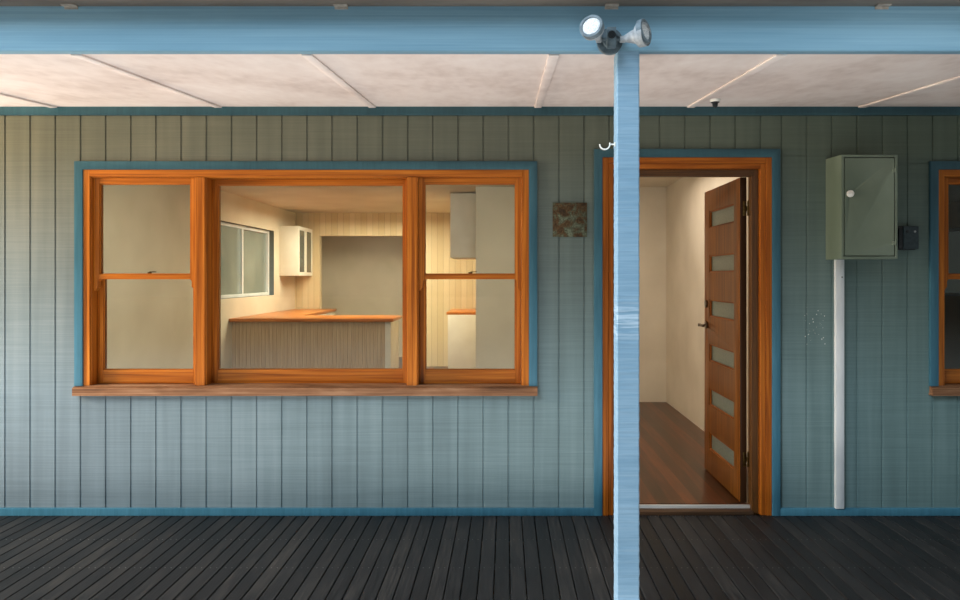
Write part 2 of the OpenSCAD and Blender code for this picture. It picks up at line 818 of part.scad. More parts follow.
module door_deadlock() color("silver")
    open_leaf()
        translate([lever_xc, leaf_outer_y, deadlock_zc])
            rotate([-90, 0, 0]) {
                translate([0, 0, -12])
                    cylinder(r = 27, h = 12, $fn = 48);
                cylinder(r = 13, h = leaf_t, $fn = 48);
                translate([0, 0, leaf_t])
                    cylinder(r = 27, h = 14, $fn = 48);
            }

// Rose, spindle and lever on each face of the leaf
rose_gap = 0.3;

module door_lever() color("silver")
    open_leaf()
        translate([lever_xc, leaf_outer_y, lever_zc])
            rotate([-90, 0, 0]) {
                translate([0, 0, -55])
                    cylinder(r = spindle_r, h = leaf_t + 110, $fn = 48);
                for (z = [-rose_gap - 10, leaf_t + rose_gap])
                    translate([0, 0, z])
                        cylinder(r = rose_r, h = 10, $fn = 48);
                for (z = [-62, leaf_t + 44]) {
                    translate([0, 0, z])
                        cylinder(r = 11, h = 18, $fn = 48);
                    translate([0, -9, z + 3])
                        cube([lever_l - 9, 18, 12]);
                    translate([lever_l - 9, 0, z + 3])
                        cylinder(r = 9, h = 12, $fn = 48);
                }
            }

// Verandah
post_x = [-half_w + post_w / 2, -post_mid_x, post_mid_x, half_w - post_w / 2];
beam_z = deck_z + beam_clear;
beam_top = roof_under(beam_y);

module verandah_posts() color("#8fb3c9")
    for (x = post_x)
        block(x - post_w / 2, x + post_w / 2, beam_y, beam_y + post_w, deck_z, beam_z);

module verandah_beam() color("#8fb3c9")
    side_plate(-half_w, half_w, [
        [beam_y, beam_z],
        [beam_y + beam_t, beam_z],
        [beam_y + beam_t, roof_under(beam_y + beam_t)],
        [beam_y, beam_top]
    ]);

module verandah_ceiling() color("#cdbfb2") {
    y0 = beam_y + beam_t;
    side_plate(-half_w, half_w, [
        [y0, soffit_under(y0)],
        [face_y, soffit_under(face_y)],
        [face_y, soffit_under(face_y) + soffit_t],
        [y0, soffit_under(y0) + soffit_t]
    ]);
    y2 = back_y;
    side_plate(-half_w, half_w, [
        [y2, roof_under(y2) - roof_build],
        [back_fascia_y, roof_under(back_fascia_y) - roof_build],
        [back_fascia_y, roof_under(back_fascia_y) - roof_build + soffit_t],
        [y2, roof_under(y2) - roof_build + soffit_t]
    ]);
}

// Places of the cover strips over the sheet joints, as shares of half the width
strip_shares = [-0.847, -0.642, -0.450, -0.244, -0.054, 0.159, 0.361, 0.563, 0.764, 0.941];

module ceiling_strips() color("#d3c5b8")
    for (share = strip_shares) {
        x = share * half_w;
        y0 = beam_y + beam_t;
        y1 = face_y - trim_t;
        side_plate(x - strip_w / 2, x + strip_w / 2, [
            [y0, soffit_under(y0) - strip_t],
            [y1, soffit_under(y1) - strip_t],
            [y1, soffit_under(y1)],
            [y0, soffit_under(y0)]
        ]);
    }

gutter_z = beam_top - 2 - gutter_h;
back_gutter_y = back_fascia_y + barge_t;
back_gutter_z = roof_under(back_gutter_y) - 2 - gutter_h;
gutter_lip = 10;
gutter_toe = 18;
gutter_toe_h = 22;
lip_drop = 6;

// Gutter section, drawn with its back at 0 and its front at the gutter width
module gutter_profile()
    polygon([
        [0, 0], [gutter_w - gutter_toe, 0], [gutter_w, gutter_toe_h], [gutter_w, gutter_h - lip_drop],
        [gutter_w - gutter_lip, gutter_h - lip_drop], [gutter_w - gutter_lip, gutter_h - lip_drop - gutter_t],
        [gutter_w - gutter_t, gutter_h - lip_drop - gutter_t], [gutter_w - gutter_t, gutter_toe_h + gutter_t / 2],
        [gutter_w - gutter_toe - 1, gutter_t], [gutter_t, gutter_t], [gutter_t, gutter_h], [0, gutter_h]
    ]);

pipe_x = half_w - 150;
pipe_drop = 200;
pipe_lean = 50;
pipe_mitre = pipe_w * tan(pipe_lean / 2);
pipe_off = 10;
pipe_foot_z = 60;
strap_in = 300;

module gutters() color("#6f6a63") {
    translate([half_w + barge_t, beam_y, gutter_z])
        rotate([90, 0, -90])
            linear_extrude(height = 2 * (half_w + barge_t))
                gutter_profile();
    translate([-half_w - barge_t, back_gutter_y, back_gutter_z])
        rotate([90, 0, 90])
            linear_extrude(height = 2 * (half_w + barge_t))
                gutter_profile();
    // Downpipe: an outlet, a sloping offset back to the wall and a drop to the ground
    x0 = pipe_x - pipe_w / 2;
    y_out = back_gutter_y + pipe_off;
    y_wall = back_y + trim_t + pipe_off;
    z_bend = back_gutter_z - pipe_drop;
    z_low = z_bend - (y_out - y_wall) / tan(pipe_lean);
    side_plate(x0, x0 + pipe_w, [
        [y_out, back_gutter_z], [y_out, z_bend], [y_wall, z_low], [y_wall, pipe_foot_z],
        [y_wall + pipe_w, pipe_foot_z], [y_wall + pipe_w, z_low - pipe_mitre],
        [y_out + pipe_w, z_bend - pipe_mitre], [y_out + pipe_w, back_gutter_z]
    ]);
    // Straps that hold the pipe off the wall
    for (z = [pipe_foot_z + strap_in, z_low - strap_in])
        block(x0 - 4, x0 + pipe_w + 4, back_y, y_wall + pipe_w / 2, z, z + 30);
}

// Bent clips under the back edge of the front gutter
clip_x = 116;
clip_pitch = 1059;
clip_side_n = 4;
clip_w = 53;
clip_t = 3;
clip_tab = 12;
clip_foot = 30;

module gutter_clips() color("#d8d2c8")
    for (i = [-clip_side_n : clip_side_n])
        translate([clip_x + i * clip_pitch + clip_w / 2, beam_y, gutter_z])
            rotate([90, 0, -90])
                linear_extrude(height = clip_w)
                    polygon([
                        [0, -clip_tab], [0, 0], [clip_foot, 0], [clip_foot, -clip_t],
                        [clip_t, -clip_t], [clip_t, -clip_tab]
                    ]);

// Twin floodlight on the beam
lamp_up = 33;
lamp_z = beam_z + lamp_up;
lamp_base_t = lamp_out - 19;
lamp_pivot_out = 46;
lamp_arm_r = 8;
lamp_knuckle_r = 13;
lamp_knuckle_w = 20;

module floodlight_mount() color("#b9bcbc")
    translate([lamp_x, beam_y, lamp_z])
        rotate([90, 0, 0]) {
            cylinder(r = lamp_base_r, h = lamp_base_t, $fn = 64);
            translate([0, 0, lamp_base_t])
                cylinder(r = 30, h = 20, $fn = 48);
            // Sensor head
            translate([-17, -38, lamp_base_t + 20])
                cube([34, 76, 30]);
            // Arms with the pivot pins of the lamp heads
            for (s = [-1, 1])
                translate([0, 0, lamp_out])
                    rotate([0, s * 90, 0])
                        cylinder(r = lamp_arm_r, h = lamp_pivot_out + lamp_knuckle_w / 2, $fn = 48);
        }

// A lamp head: a cone with a rim, whose knuckle turns on the arm's end
module lamp_head(s)
    translate([lamp_x + s * lamp_pivot_out, beam_y - lamp_out, lamp_z])
        difference() {
            union() {
                rotate([0, 90, 0])
                    cylinder(r = lamp_knuckle_r, h = lamp_knuckle_w, center = true, $fn = 48);
                rotate([s < 0 ? -lamp_tilt : 0, 0, 0])
                    rotate([90, 0, s < 0 ? -lamp_turn : right_lamp_turn])
                        rotate_extrude($fn = 64)
                            polygon([
                                [0, 6], [12, 6], [20, 30], [28, 56], [lamp_r, 70], [lamp_r, lamp_l],
                                [lamp_r - 3, lamp_l], [lamp_r - 3, lamp_l - 5], [0, lamp_l - 5]
                            ]);
            }
            rotate([0, 90, 0])
                cylinder(r = lamp_arm_r + 0.05, h = 2 * lamp_knuckle_w, center = true, $fn = 48);
        }

module left_lamp() color("#c6c8c8") lamp_head(-1);

module right_lamp() color("#c6c8c8") lamp_head(1);

hook_down = 358;
hook_z = beam_z - hook_down;
hook_r = 3;
hook_arc = 20;
hook_neck = 24;

module cup_hook() color("white")
    translate([-post_mid_x - post_w / 2, beam_y + post_w / 2, hook_z]) {
        rotate([0, -90, 0]) {
            cylinder(r = hook_r, h = hook_neck, $fn = 24);
            cylinder(r = 9, h = 3, $fn = 32);
        }
        translate([-hook_neck - hook_arc + hook_r, 0, 0])
            rotate([90, 0, 0])
                rotate([0, 0, 180])
                    rotate_extrude(angle = 200, $fn = 48)
                        translate([hook_arc, 0])
                            circle(r = hook_r, $fn = 24);
    }

dome_r = 30;
dome_strip = 4;
dome_gap = 14;
dome_x = strip_shares[dome_strip] * half_w + strip_w / 2 + dome_r + dome_gap;
dome_y = face_y - 306;

module ceiling_dome() color("#2b2b2b")
    translate([dome_x, dome_y, soffit_under(dome_y)])
        rotate([roof_pitch, 0, 0])
            translate([0, 0, -26.3])
                rotate_extrude($fn = 48)
                    polygon([[0, 0], [14, 1], [23, 6], [dome_r - 1, 16], [dome_r, 26], [0, 26]]);

// Meter box, its door and its turning knob
meter_x0 = meter_x - meter_w / 2;
meter_x1 = meter_x + meter_w / 2;
meter_z0 = deck_z + meter_z;
meter_z1 = meter_z0 + meter_h;
meter_front = face_y - meter_d;
meter_gap = 5;
meter_door_t = 18;
meter_pin_x = meter_x1 - meter_rim + 1;
meter_pin_y = meter_front - 5;
meter_knuckle_r = 4;

module meter_box() color("#8b9088") {
    difference() {
        side_plate(meter_x0, meter_x1, [
            [meter_front, meter_z0], [face_y, meter_z0], [face_y, meter_z1 + 8], [meter_front, meter_z1]
        ]);
        block(meter_x0 + meter_t, meter_x1 - meter_t, meter_front + meter_t, face_y - meter_t,
            meter_z0 + meter_t, meter_z1 - meter_t);
        block(meter_x0 + meter_rim, meter_x1 - meter_rim, meter_front - 1, meter_front + meter_t + 1,
            meter_z0 + meter_rim, meter_z1 - meter_rim);
    }
    // Hinge pins with their lower and upper lugs
    for (z = [meter_z0 + 70, meter_z1 - 110])
        for (dz = [0, 32])
            union() {
                translate([meter_pin_x, meter_pin_y, z + dz])
                    cylinder(r = meter_knuckle_r, h = 8, $fn = 32);
                block(meter_pin_x, meter_pin_x + 9, meter_pin_y, meter_front, z + dz, z + dz + 8);
                if (dz == 0)
                    translate([meter_pin_x, meter_pin_y, z])
                        cylinder(r = 1.5, h = 40, $fn = 32);
            }
}

knob_x = meter_x0 + 49;
knob_up = 371;
knob_z = meter_z0 + knob_up;

module meter_box_door() color("#8f948c")
    difference() {
        union() {
            block(meter_x0 + meter_rim + meter_gap, meter_x1 - meter_rim - meter_gap,
                meter_front, meter_front + 3, meter_z0 + meter_rim + meter_gap, meter_z1 - meter_rim - meter_gap);
            difference() {
                block(meter_x0 + meter_rim + meter_gap, meter_x1 - meter_rim - meter_gap,
                    meter_front, meter_front + meter_door_t,
                    meter_z0 + meter_rim + meter_gap, meter_z1 - meter_rim - meter_gap);
                block(meter_x0 + meter_rim + meter_gap + 3, meter_x1 - meter_rim - meter_gap - 3,
                    meter_front + 3, meter_front + meter_door_t + 1,
                    meter_z0 + meter_rim + meter_gap + 3, meter_z1 - meter_rim - meter_gap - 3);
            }
            for (z = [meter_z0 + 70, meter_z1 - 110]) {
                translate([meter_pin_x, meter_pin_y, z + 9])
                    cylinder(r = meter_knuckle_r, h = 22, $fn = 32);
                block(meter_x1 - meter_rim - meter_gap - 12, meter_pin_x, meter_pin_y - 1, meter_front,
                    z + 9, z + 31);
            }
        }
        for (z = [meter_z0 + 70, meter_z1 - 110])
            translate([meter_pin_x, meter_pin_y, z])
                cylinder(r = 1.6, h = 60, $fn = 32);
        translate([knob_x, meter_front - 1, knob_z])
            rotate([-90, 0, 0])
                cylinder(r = 7, h = 10, $fn = 32);
    }

module meter_knob() color("#4a4d4a")
    translate([knob_x, meter_front - 0.3, knob_z])
        rotate([90, 0, 0]) {
            cylinder(r = knob_r, h = 8, $fn = 48);
            translate([-knob_r + 3, -4, 8])
                cube([2 * knob_r - 6, 8, 8]);
            translate([0, 0, -14])
                cylinder(r = 5, h = 14, $fn = 32);
        }

conduit_x = meter_x0 + 74;
conduit_z0 = deck_z + base_trim_h;
conduit_t = 2;

// Folded cover over the cables, open at the back against the wall
module meter_conduit() color("#dcdcd6")
    difference() {
        block(conduit_x - conduit_w / 2, conduit_x + conduit_w / 2, face_y - conduit_out, face_y,
            conduit_z0, meter_z0);
        block(conduit_x - conduit_w / 2 + conduit_t, conduit_x + conduit_w / 2 - conduit_t,
            face_y - conduit_out + conduit_t, face_y + 1, conduit_z0 - 1, meter_z0 + 1);
    }

key_w = 116;
key_h = 142;
key_d = 48;
key_r = 10;
key_z = deck_z + 1583;

// Key safe: a cast body with a cover that has rounded corners
module key_safe() color("#2f3133") {
    translate([key_safe_x - key_w / 2, face_y, key_z])
        rotate([90, 0, 0])
            linear_extrude(height = key_d - 14)
                rounded(key_w, key_h, key_r);
    translate([key_safe_x - key_w / 2 + 6, face_y - key_d + 14, key_z + 6])
        rotate([90, 0, 0])
            linear_extrude(height = 14)
                rounded(key_w - 12, key_h - 12, key_r);
}

// Flat rectangle with round corners, from its lower left corner
module rounded(w, h, r)
    union() {
        translate([r, 0])
            square([w - 2 * r, h]);
        translate([0, r])
            square([w, h - 2 * r]);
        for (x = [r, w - r], y = [r, h - r])
            translate([x, y])
                circle(r = r, $fn = 32);
    }

module wall_plaque() color("#7a6a58")
    block(plaque_x - plaque_w / 2, plaque_x + plaque_w / 2, face_y - 8, face_y,
        deck_z + 1662, deck_z + 1662 + plaque_w);

// Roof: ribbed sheets on two slopes, with ridge cap, barge and fascia boards
roof_half = half_w + barge_t;
rib_n = floor(2 * roof_half / rib_pitch);
rib_foot = 34;
rib_crown = 18;

// Ribbed sheet section across the house
module roof_profile()
    union() {
        translate([-roof_half, 0])
            square([2 * roof_half, pan_t]);
        for (i = [0 : rib_n]) {
            x = -rib_n * rib_pitch / 2 + i * rib_pitch;
            if (abs(x) < roof_half - rib_foot)
                roof_rib(x);
        }
    }

// One rib of the sheet
module roof_rib(x)
    polygon([
        [x - rib_foot / 2, pan_t / 2], [x + rib_foot / 2, pan_t / 2],
        [x + rib_crown / 2, pan_t + rib_h], [x - rib_crown / 2, pan_t + rib_h]
    ]);

roof_drip = 30;
roof_seat = 0.4;
seat_z = roof_seat / cos(roof_pitch);
front_run = (ridge_y - beam_y + roof_drip) / cos(roof_pitch);
back_run = (back_y + back_eave - ridge_y + roof_drip) / cos(roof_pitch);
ridge_gap = 6;
cap_t = 3;
cap_rise = 14;

module roof_front() color("#9aa3a4")
    translate([0, beam_y - roof_drip, roof_under(beam_y - roof_drip) + seat_z])
        rotate([90 + roof_pitch, 0, 0])
            mirror([0, 0, 1])
                linear_extrude(height = front_run - ridge_gap)
                    roof_profile();

module roof_back() color("#9aa3a4")
    translate([0, back_y + back_eave + roof_drip, roof_under(back_y + back_eave + roof_drip) + seat_z])
        rotate([90 - roof_pitch, 0, 0])
            linear_extrude(height = back_run - ridge_gap)
                roof_profile();

// Folded cap over the meeting of the two slopes, on top of the ribs
module ridge_cap() color("#9aa3a4") {
    z0 = roof_under(ridge_y) + (pan_t + rib_h) / cos(roof_pitch) + 2 * seat_z;
    drop = ridge_wing * slope;
    crease = 20;
    crease_drop = crease * slope;
    side_plate(-roof_half, roof_half, [
        [ridge_y - ridge_wing, z0 - drop],
        [ridge_y - ridge_wing, z0 - drop + cap_t],
        [ridge_y - crease, z0 - crease_drop + cap_t],
        [ridge_y, z0 + cap_rise],
        [ridge_y + crease, z0 - crease_drop + cap_t],
        [ridge_y + ridge_wing, z0 - drop + cap_t],
        [ridge_y + ridge_wing, z0 - drop],
        [ridge_y + crease, z0 - crease_drop],
        [ridge_y, z0 + cap_rise - cap_t],
        [ridge_y - crease, z0 - crease_drop]
    ]);
}

module barge_boards() color("#5f8ea3") {
    for (x = [-half_w - barge_t, half_w])
        side_plate(x, x + barge_t, [
            [beam_y, roof_under(beam_y) - barge_h],
            [face_y, roof_under(face_y) - barge_h],
            [ridge_y, roof_under(ridge_y) - barge_h],
            [back_fascia_y + barge_t, roof_under(back_fascia_y + barge_t) - barge_h],
            [back_fascia_y + barge_t, roof_under(back_fascia_y + barge_t)],
            [ridge_y, roof_under(ridge_y)],
            [beam_y, roof_under(beam_y)]
        ]);
    side_plate(-half_w, half_w, [
        [back_fascia_y, roof_under(back_fascia_y) - barge_h],
        [back_fascia_y + barge_t, roof_under(back_fascia_y) - barge_h],
        [back_fascia_y + barge_t, roof_under(back_fascia_y + barge_t)],
        [back_fascia_y, roof_under(back_fascia_y)]
    ]);
}

// Inside
module room_ceiling() color("#d9cfba")
    block(-inner_x, inner_x, inner_y, back_y - wall_t, room_top, room_top + ceiling_t);

kitchen_back = face_y + kitchen_end_y;
room_back = face_y + front_room_d;

module entry_partition() color("#d8c6a4")
    block(entry_wall_x, entry_wall_x + partition_t, inner_y, room_back, floor_z, room_top);

module living_partition() color("#c9b690")
    block(kitchen_wall_x, entry_wall_x + partition_t, room_back, room_back + partition_t, floor_z, room_top);

module kitchen_partition() color("#d8c6a4")
    block(kitchen_wall_x, kitchen_wall_x + partition_t, room_back + partition_t, kitchen_back, floor_z, room_top);

hall_opening_x = -inner_x + hall_jamb;

module hall_partition() color("#d0bd98")
    difference() {
        block(-inner_x, kitchen_wall_x + partition_t, kitchen_back, kitchen_back + partition_t,
            floor_z, room_top);
        block(hall_opening_x, hall_opening_x + hall_opening_w, kitchen_back - 1,
            kitchen_back + partition_t + 1, floor_z - 1, floor_z + hall_opening_h);
    }

bench_top_z = floor_z + bench_h;
bench_under_z = bench_top_z - bench_top_t;
peninsula_y0 = face_y + peninsula_y;
peninsula_y1 = peninsula_y0 + peninsula_d;
bench_overhang = 100;
end_inset = 46;
right_bench_y = kitchen_back - right_bench_l;
carcase_in = 20;
toe_in = 50;
toe_h = 100;
cupboard_off = 23;
right_cupboard_y = peninsula_y0 - right_cupboard_before;

module kitchen_cabinets() color("#dedbd2") {
    // Peninsula and the bench along the side wall
    difference() {
        union() {
            block(-inner_x, -inner_x + peninsula_l - end_inset, peninsula_y0 + bench_overhang,
                peninsula_y1 - carcase_in, floor_z, bench_under_z);
            block(-inner_x, -inner_x + side_bench_d - carcase_in, peninsula_y1 - carcase_in,
                kitchen_back, floor_z, bench_under_z);
        }
        // Toe recess
        block(-inner_x + side_bench_d - carcase_in - toe_in, big, peninsula_y1 - carcase_in - toe_in,
            kitchen_back + 1, floor_z - 1, floor_z + toe_h);
    }
    block(kitchen_wall_x - right_bench_d + carcase_in, kitchen_wall_x, right_bench_y, kitchen_back,
        floor_z, bench_under_z);
    // Wall cupboards
    block(-inner_x, -inner_x + left_cupboard_d, kitchen_back - cupboard_off - left_cupboard_w,
        kitchen_back - cupboard_off, floor_z + left_cupboard_z, floor_z + left_cupboard_z + left_cupboard_h);
    block(kitchen_wall_x - right_cupboard_d, kitchen_wall_x, right_cupboard_y, right_cupboard_y + right_cupboard_w,
        floor_z + right_cupboard_z, floor_z + right_cupboard_z + right_cupboard_h);
}

module bench_tops() color("#c98a3c") {
    block(-inner_x, -inner_x + peninsula_l, peninsula_y0, peninsula_y1, bench_under_z, bench_top_z);
    block(-inner_x, -inner_x + side_bench_d, peninsula_y1, kitchen_back, bench_under_z, bench_top_z);
    block(kitchen_wall_x - right_bench_d, kitchen_wall_x, right_bench_y, kitchen_back, bench_under_z, bench_top_z);
}

piles();
floor_frame();
floor_boards();
base_boards();
deck_frame();
deck_boards();
front_wall_left();
front_wall_right();
front_wall_over_door();
side_wall_left();
side_wall_right();
back_wall();
wall_trims();
window_surrounds();
door_surround();
window_frames();
upper_sashes();
lower_sashes();
fixed_lights();
front_window_glass();
sash_locks();
side_window_frames();
side_window_glass();
door_frame();
door_threshold();
frame_hinges();
door_leaf();
door_glass();
leaf_hinges();
door_deadlock();
door_lever();
verandah_posts();
verandah_beam();
verandah_ceiling();
ceiling_strips();
gutters();
gutter_clips();
floodlight_mount();
left_lamp();
right_lamp();
cup_hook();
ceiling_dome();
meter_box();
meter_box_door();
meter_knob();
meter_conduit();
key_safe();
wall_plaque();
roof_front();
roof_back();
ridge_cap();
barge_boards();
room_ceiling();
entry_partition();
living_partition();
kitchen_partition();
hall_partition();
kitchen_cabinets();
bench_tops();
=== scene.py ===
import itertools
import math
import random

import bmesh
import bpy
from mathutils import Matrix, Vector


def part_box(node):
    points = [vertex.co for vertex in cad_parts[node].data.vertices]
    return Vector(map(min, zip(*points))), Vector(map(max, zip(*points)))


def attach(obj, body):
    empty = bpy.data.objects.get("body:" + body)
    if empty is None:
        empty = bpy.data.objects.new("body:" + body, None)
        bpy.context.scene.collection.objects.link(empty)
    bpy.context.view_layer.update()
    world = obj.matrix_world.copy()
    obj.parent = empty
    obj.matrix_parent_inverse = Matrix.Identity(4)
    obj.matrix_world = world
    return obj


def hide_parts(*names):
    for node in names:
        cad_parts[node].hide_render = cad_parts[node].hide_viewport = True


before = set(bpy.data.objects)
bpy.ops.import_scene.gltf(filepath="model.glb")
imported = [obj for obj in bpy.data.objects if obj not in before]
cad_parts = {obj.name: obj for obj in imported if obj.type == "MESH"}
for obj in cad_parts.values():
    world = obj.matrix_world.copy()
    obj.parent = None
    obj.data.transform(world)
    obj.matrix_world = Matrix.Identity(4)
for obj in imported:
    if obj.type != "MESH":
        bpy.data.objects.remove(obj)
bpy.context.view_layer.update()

# The view stands on the lawn side of the deck, level with a person's eyes and square to
# the front wall. Daylight comes from the open front, each room has a lamp of its own, and
# large soft lamps behind, beside and above the house light the sides the view doesn't show.
wall_low, wall_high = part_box("front_wall_left")
face = wall_low.y
wall_thick = wall_high.y - wall_low.y
half = -wall_low.x
deck_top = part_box("deck_boards")[1].z
floor_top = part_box("floor_boards")[1].z



def linked(name, data):
    """An object of this data, at the origin, in the scene."""
    obj = bpy.data.objects.new(name, data)
    bpy.context.collection.objects.link(obj)
    return obj


eye = linked("eye", bpy.data.cameras.new("eye"))
eye.location = (-1.357, face - 4.394, deck_top + 1.42)
eye.rotation_euler = (math.radians(90), 0, 0)
eye.data.lens = 27.56
eye.data.sensor_width = 36
eye.data.shift_x = -0.0270
eye.data.shift_y = -0.0235
bpy.context.scene.camera = eye
bpy.context.scene.view_settings.view_transform = "Standard"


def tint(red, green, blue):
    """A paint colour given as on a colour card, 0 to 255, as Blender's linear colour."""
    out = []
    for part in (red, green, blue):
        c = part / 255
        out.append(c / 12.92 if c <= 0.04045 else ((c + 0.055) / 1.055) ** 2.4)
    return (*out, 1.0)


def lamp(name, at, aim, size, power, colour=(1, 1, 1)):
    """A soft rectangular lamp that shines from at towards aim."""
    data = bpy.data.lights.new(name, "AREA")
    data.shape = "RECTANGLE"
    data.size, data.size_y = size
    data.energy = power
    data.color = colour
    obj = linked(name, data)
    obj.location = at
    obj.rotation_euler = (Vector(aim) - Vector(at)).to_track_quat("-Z", "Y").to_euler()
    obj.visible_glossy = False
    obj.visible_camera = False


world = bpy.data.worlds.new("daylight")
bpy.context.scene.world = world
world.use_nodes = True
world.node_tree.nodes["Background"].inputs["Color"].default_value = (0.92, 0.95, 0.92, 1)
world.node_tree.nodes["Background"].inputs["Strength"].default_value = 0.13
lamp("open_sky", (-8.3, face - 7.3, 8.8), (-1.4, face - 1.5, 1.6), (9.5, 5), 2250, (0.76, 0.88, 1.0))
lamp("lawn_light", (-6.6, face - 1.1, 2.1), (-3.4, face + 0.1, 2.45), (1.2, 0.6), 260, (1.0, 0.78, 0.55))
lamp("left_sky", (-9.0, face - 4.6, 2.4), (-2.6, face - 1.2, 1.6), (4, 3), 40, (0.88, 0.93, 1.0))
lamp("deck_light", (-4.0, face - 0.95, deck_top + 0.1), (-4.0, face - 0.95, 3), (8.2, 1.3), 78,
     (1.0, 0.93, 0.88))
lamp("kitchen_lamp", (-3.2, face + 5.6, 2.5), (-3.2, face + 5.6, 0), (1.6, 1.6), 120, (1.0, 0.87, 0.68))
lamp("front_room_lamp", (-2.6, face + 1.7, 2.55), (-2.6, face + 1.7, 0), (2.6, 1.6), 26, (1.0, 0.85, 0.66))
lamp("window_light", (-2.5, face + 0.45, 1.6), (-2.5, face + 4, 1.5), (3.6, 1.4), 34, (0.98, 0.97, 0.90))
lamp("entry_lamp", (-0.1, face + 1.9, 2.55), (-0.1, face + 1.9, 0), (0.6, 1.4), 14, (1.0, 0.89, 0.80))
lamp("hall_lamp", (-3.4, face + 7.8, 2.4), (-3.4, face + 7.8, 0), (1.0, 0.6), 2, (1.0, 0.9, 0.78))

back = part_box("back_wall")[1].y
lamp("back_sky", (0, back + 8.5, 8.5), (0, back, 1.6), (12, 6), 1600, (0.80, 0.89, 1.0))
lamp("right_sky", (half + 9, face + 4.5, 6.5), (half, face + 4.5, 1.6), (8, 5), 1050, (0.80, 0.89, 1.0))
lamp("far_left_sky", (-half - 9, face + 5.0, 6.5), (-half, face + 5.0, 1.6), (7, 5), 800, (0.84, 0.91, 1.0))
lamp("roof_sky", (0, face + 6, 13), (0, face + 6, 3), (12, 9), 1300, (0.84, 0.92, 1.0))

ground = bpy.data.meshes.new("studio_floor")
ground.from_pydata([(-60, -60, 0), (60, -60, 0), (60, 60, 0), (-60, 60, 0)], [], [(0, 1, 2, 3)])
studio_floor = linked("studio_floor", ground)
pale = bpy.data.materials.new("studio_floor")
pale.use_nodes = True
pale.node_tree.nodes["Principled BSDF"].inputs["Base Color"].default_value = tint(196, 194, 188)
pale.node_tree.nodes["Principled BSDF"].inputs["Roughness"].default_value = 0.9
ground.materials.append(pale)


# The house stands on square sawn piles. Bearers, joists and the boards that close the
# base are treated pine, nailed; they show only under the deck's edge and at the sides.
class Tree:
    """A node tree; its inputs are filled or linked, whichever the value asks for."""

    def put(self, socket, value):
        if isinstance(value, bpy.types.NodeSocket):
            self.tree.links.new(value, socket)
        else:
            socket.default_value = value

    def node(self, kind, inputs, **settings):
        made = self.tree.nodes.new(kind)
        for key, value in settings.items():
            setattr(made, key, value)
        for key, value in inputs.items():
            self.put(made.inputs[key], value)
        return made


class Finish(Tree):
    """A node material that reads Object coordinates, built up coat by coat."""

    def __init__(self, name, rough, metal=0.0):
        self.mat = bpy.data.materials.new(name)
        self.mat.use_nodes = True
        self.tree = self.mat.node_tree
        self.shader = self.tree.nodes["Principled BSDF"]
        self.shader.inputs["Roughness"].default_value = rough
        self.shader.inputs["Metallic"].default_value = metal
        self.place = self.tree.nodes.new("ShaderNodeTexCoord").outputs["Object"]
        self.pattern = self.normal = None

    def along_grain(self):
        """Read the piece's own grain attribute, whose Z runs along each member."""
        self.place = self.node("ShaderNodeAttribute", {}, attribute_name="grain").outputs["Vector"]
        return self

    def grain(self, scale, detail, warp=0.0):
        """Noise between 0 and 1, with its own scale along X, Y and Z."""
        spot = self.node("ShaderNodeMapping", {"Vector": self.place, "Scale": scale}).outputs["Vector"]
        noise = {"Vector": spot, "Scale": 1.0, "Detail": detail, "Distortion": warp}
        return self.node("ShaderNodeTexNoise", noise).outputs["Fac"]

    def ramp(self, value, *stops):
        made = self.tree.nodes.new("ShaderNodeValToRGB")
        marks = made.color_ramp.elements
        while len(marks) < len(stops):
            marks.new(0.5)
        for mark, (at, colour) in zip(marks, stops):
            mark.position = at
            mark.color = tint(*colour) if isinstance(colour, tuple) else (colour, colour, colour, 1)
        self.put(made.inputs["Fac"], value)
        return made.outputs["Color"]

    def mixed(self, share, first, second, way="MIX"):
        inputs = {"Factor": share, 6: first, 7: second}
        return self.node("ShaderNodeMix", inputs, data_type="RGBA", blend_type=way).outputs[2]

    def sums(self, way, first, second):
        return self.node("ShaderNodeMath", {0: first, 1: second}, operation=way).outputs[0]

    def times(self, first, second):
        return self.sums("MULTIPLY", first, second)

    def blend(self, *shares):
        """Several patterns added up, each times its own share."""
        total = None
        for value, share in shares:
            part = self.times(value, share)
            total = part if total is None else self.sums("ADD", total, part)
        return total

    def by_board(self, across, width, spread):
        """Where across falls within its board, and a value of that board's own, 0 to 1."""
        board = self.times(across, 1 / width)
        number = self.sums("FLOOR", board, 0)
        own = self.sums("FRACT", self.times(number, spread), 0)
        return self.sums("FRACT", board, 0), own

    def axis(self, letter):
        return self.node("ShaderNodeSeparateXYZ", {0: self.place}).outputs[letter]

    def give(self, name, value):
        self.put(self.shader.inputs[name], value)
        return self

    def colour(self, value):
        return self.give("Base Color", value)

    def toned(self, value, *stops):
        return self.colour(self.ramp(value, *stops))

    def shaded(self, scale, detail, *stops):
        """Coloured by one noise, which is kept as the pattern."""
        self.pattern = self.grain(scale, detail)
        return self.toned(self.pattern, *stops)

    def relief(self, height, deep):
        """Raise the surface by up to deep metres where height is 1."""
        bump = {"Distance": deep, "Strength": 1.0, "Height": height}
        if self.normal is not None:
            bump["Normal"] = self.normal
        self.normal = self.node("ShaderNodeBump", bump).outputs["Normal"]
        return self.give("Normal", self.normal)


def finished(nodes, made):
    """Give CAD nodes, whose shape is right as it is, their finish."""
    for name in nodes:
        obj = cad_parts[name]
        obj.data.materials.clear()
        obj.data.materials.append(made.mat)


raw_timber = Finish("raw_timber", 0.85).shaded((30, 3, 60), 4, (0.3, (112, 96, 70)), (0.7, (150, 131, 98)))
raw_timber.relief(raw_timber.pattern, 0.001)
finished(["piles", "floor_frame", "deck_frame"], raw_timber)

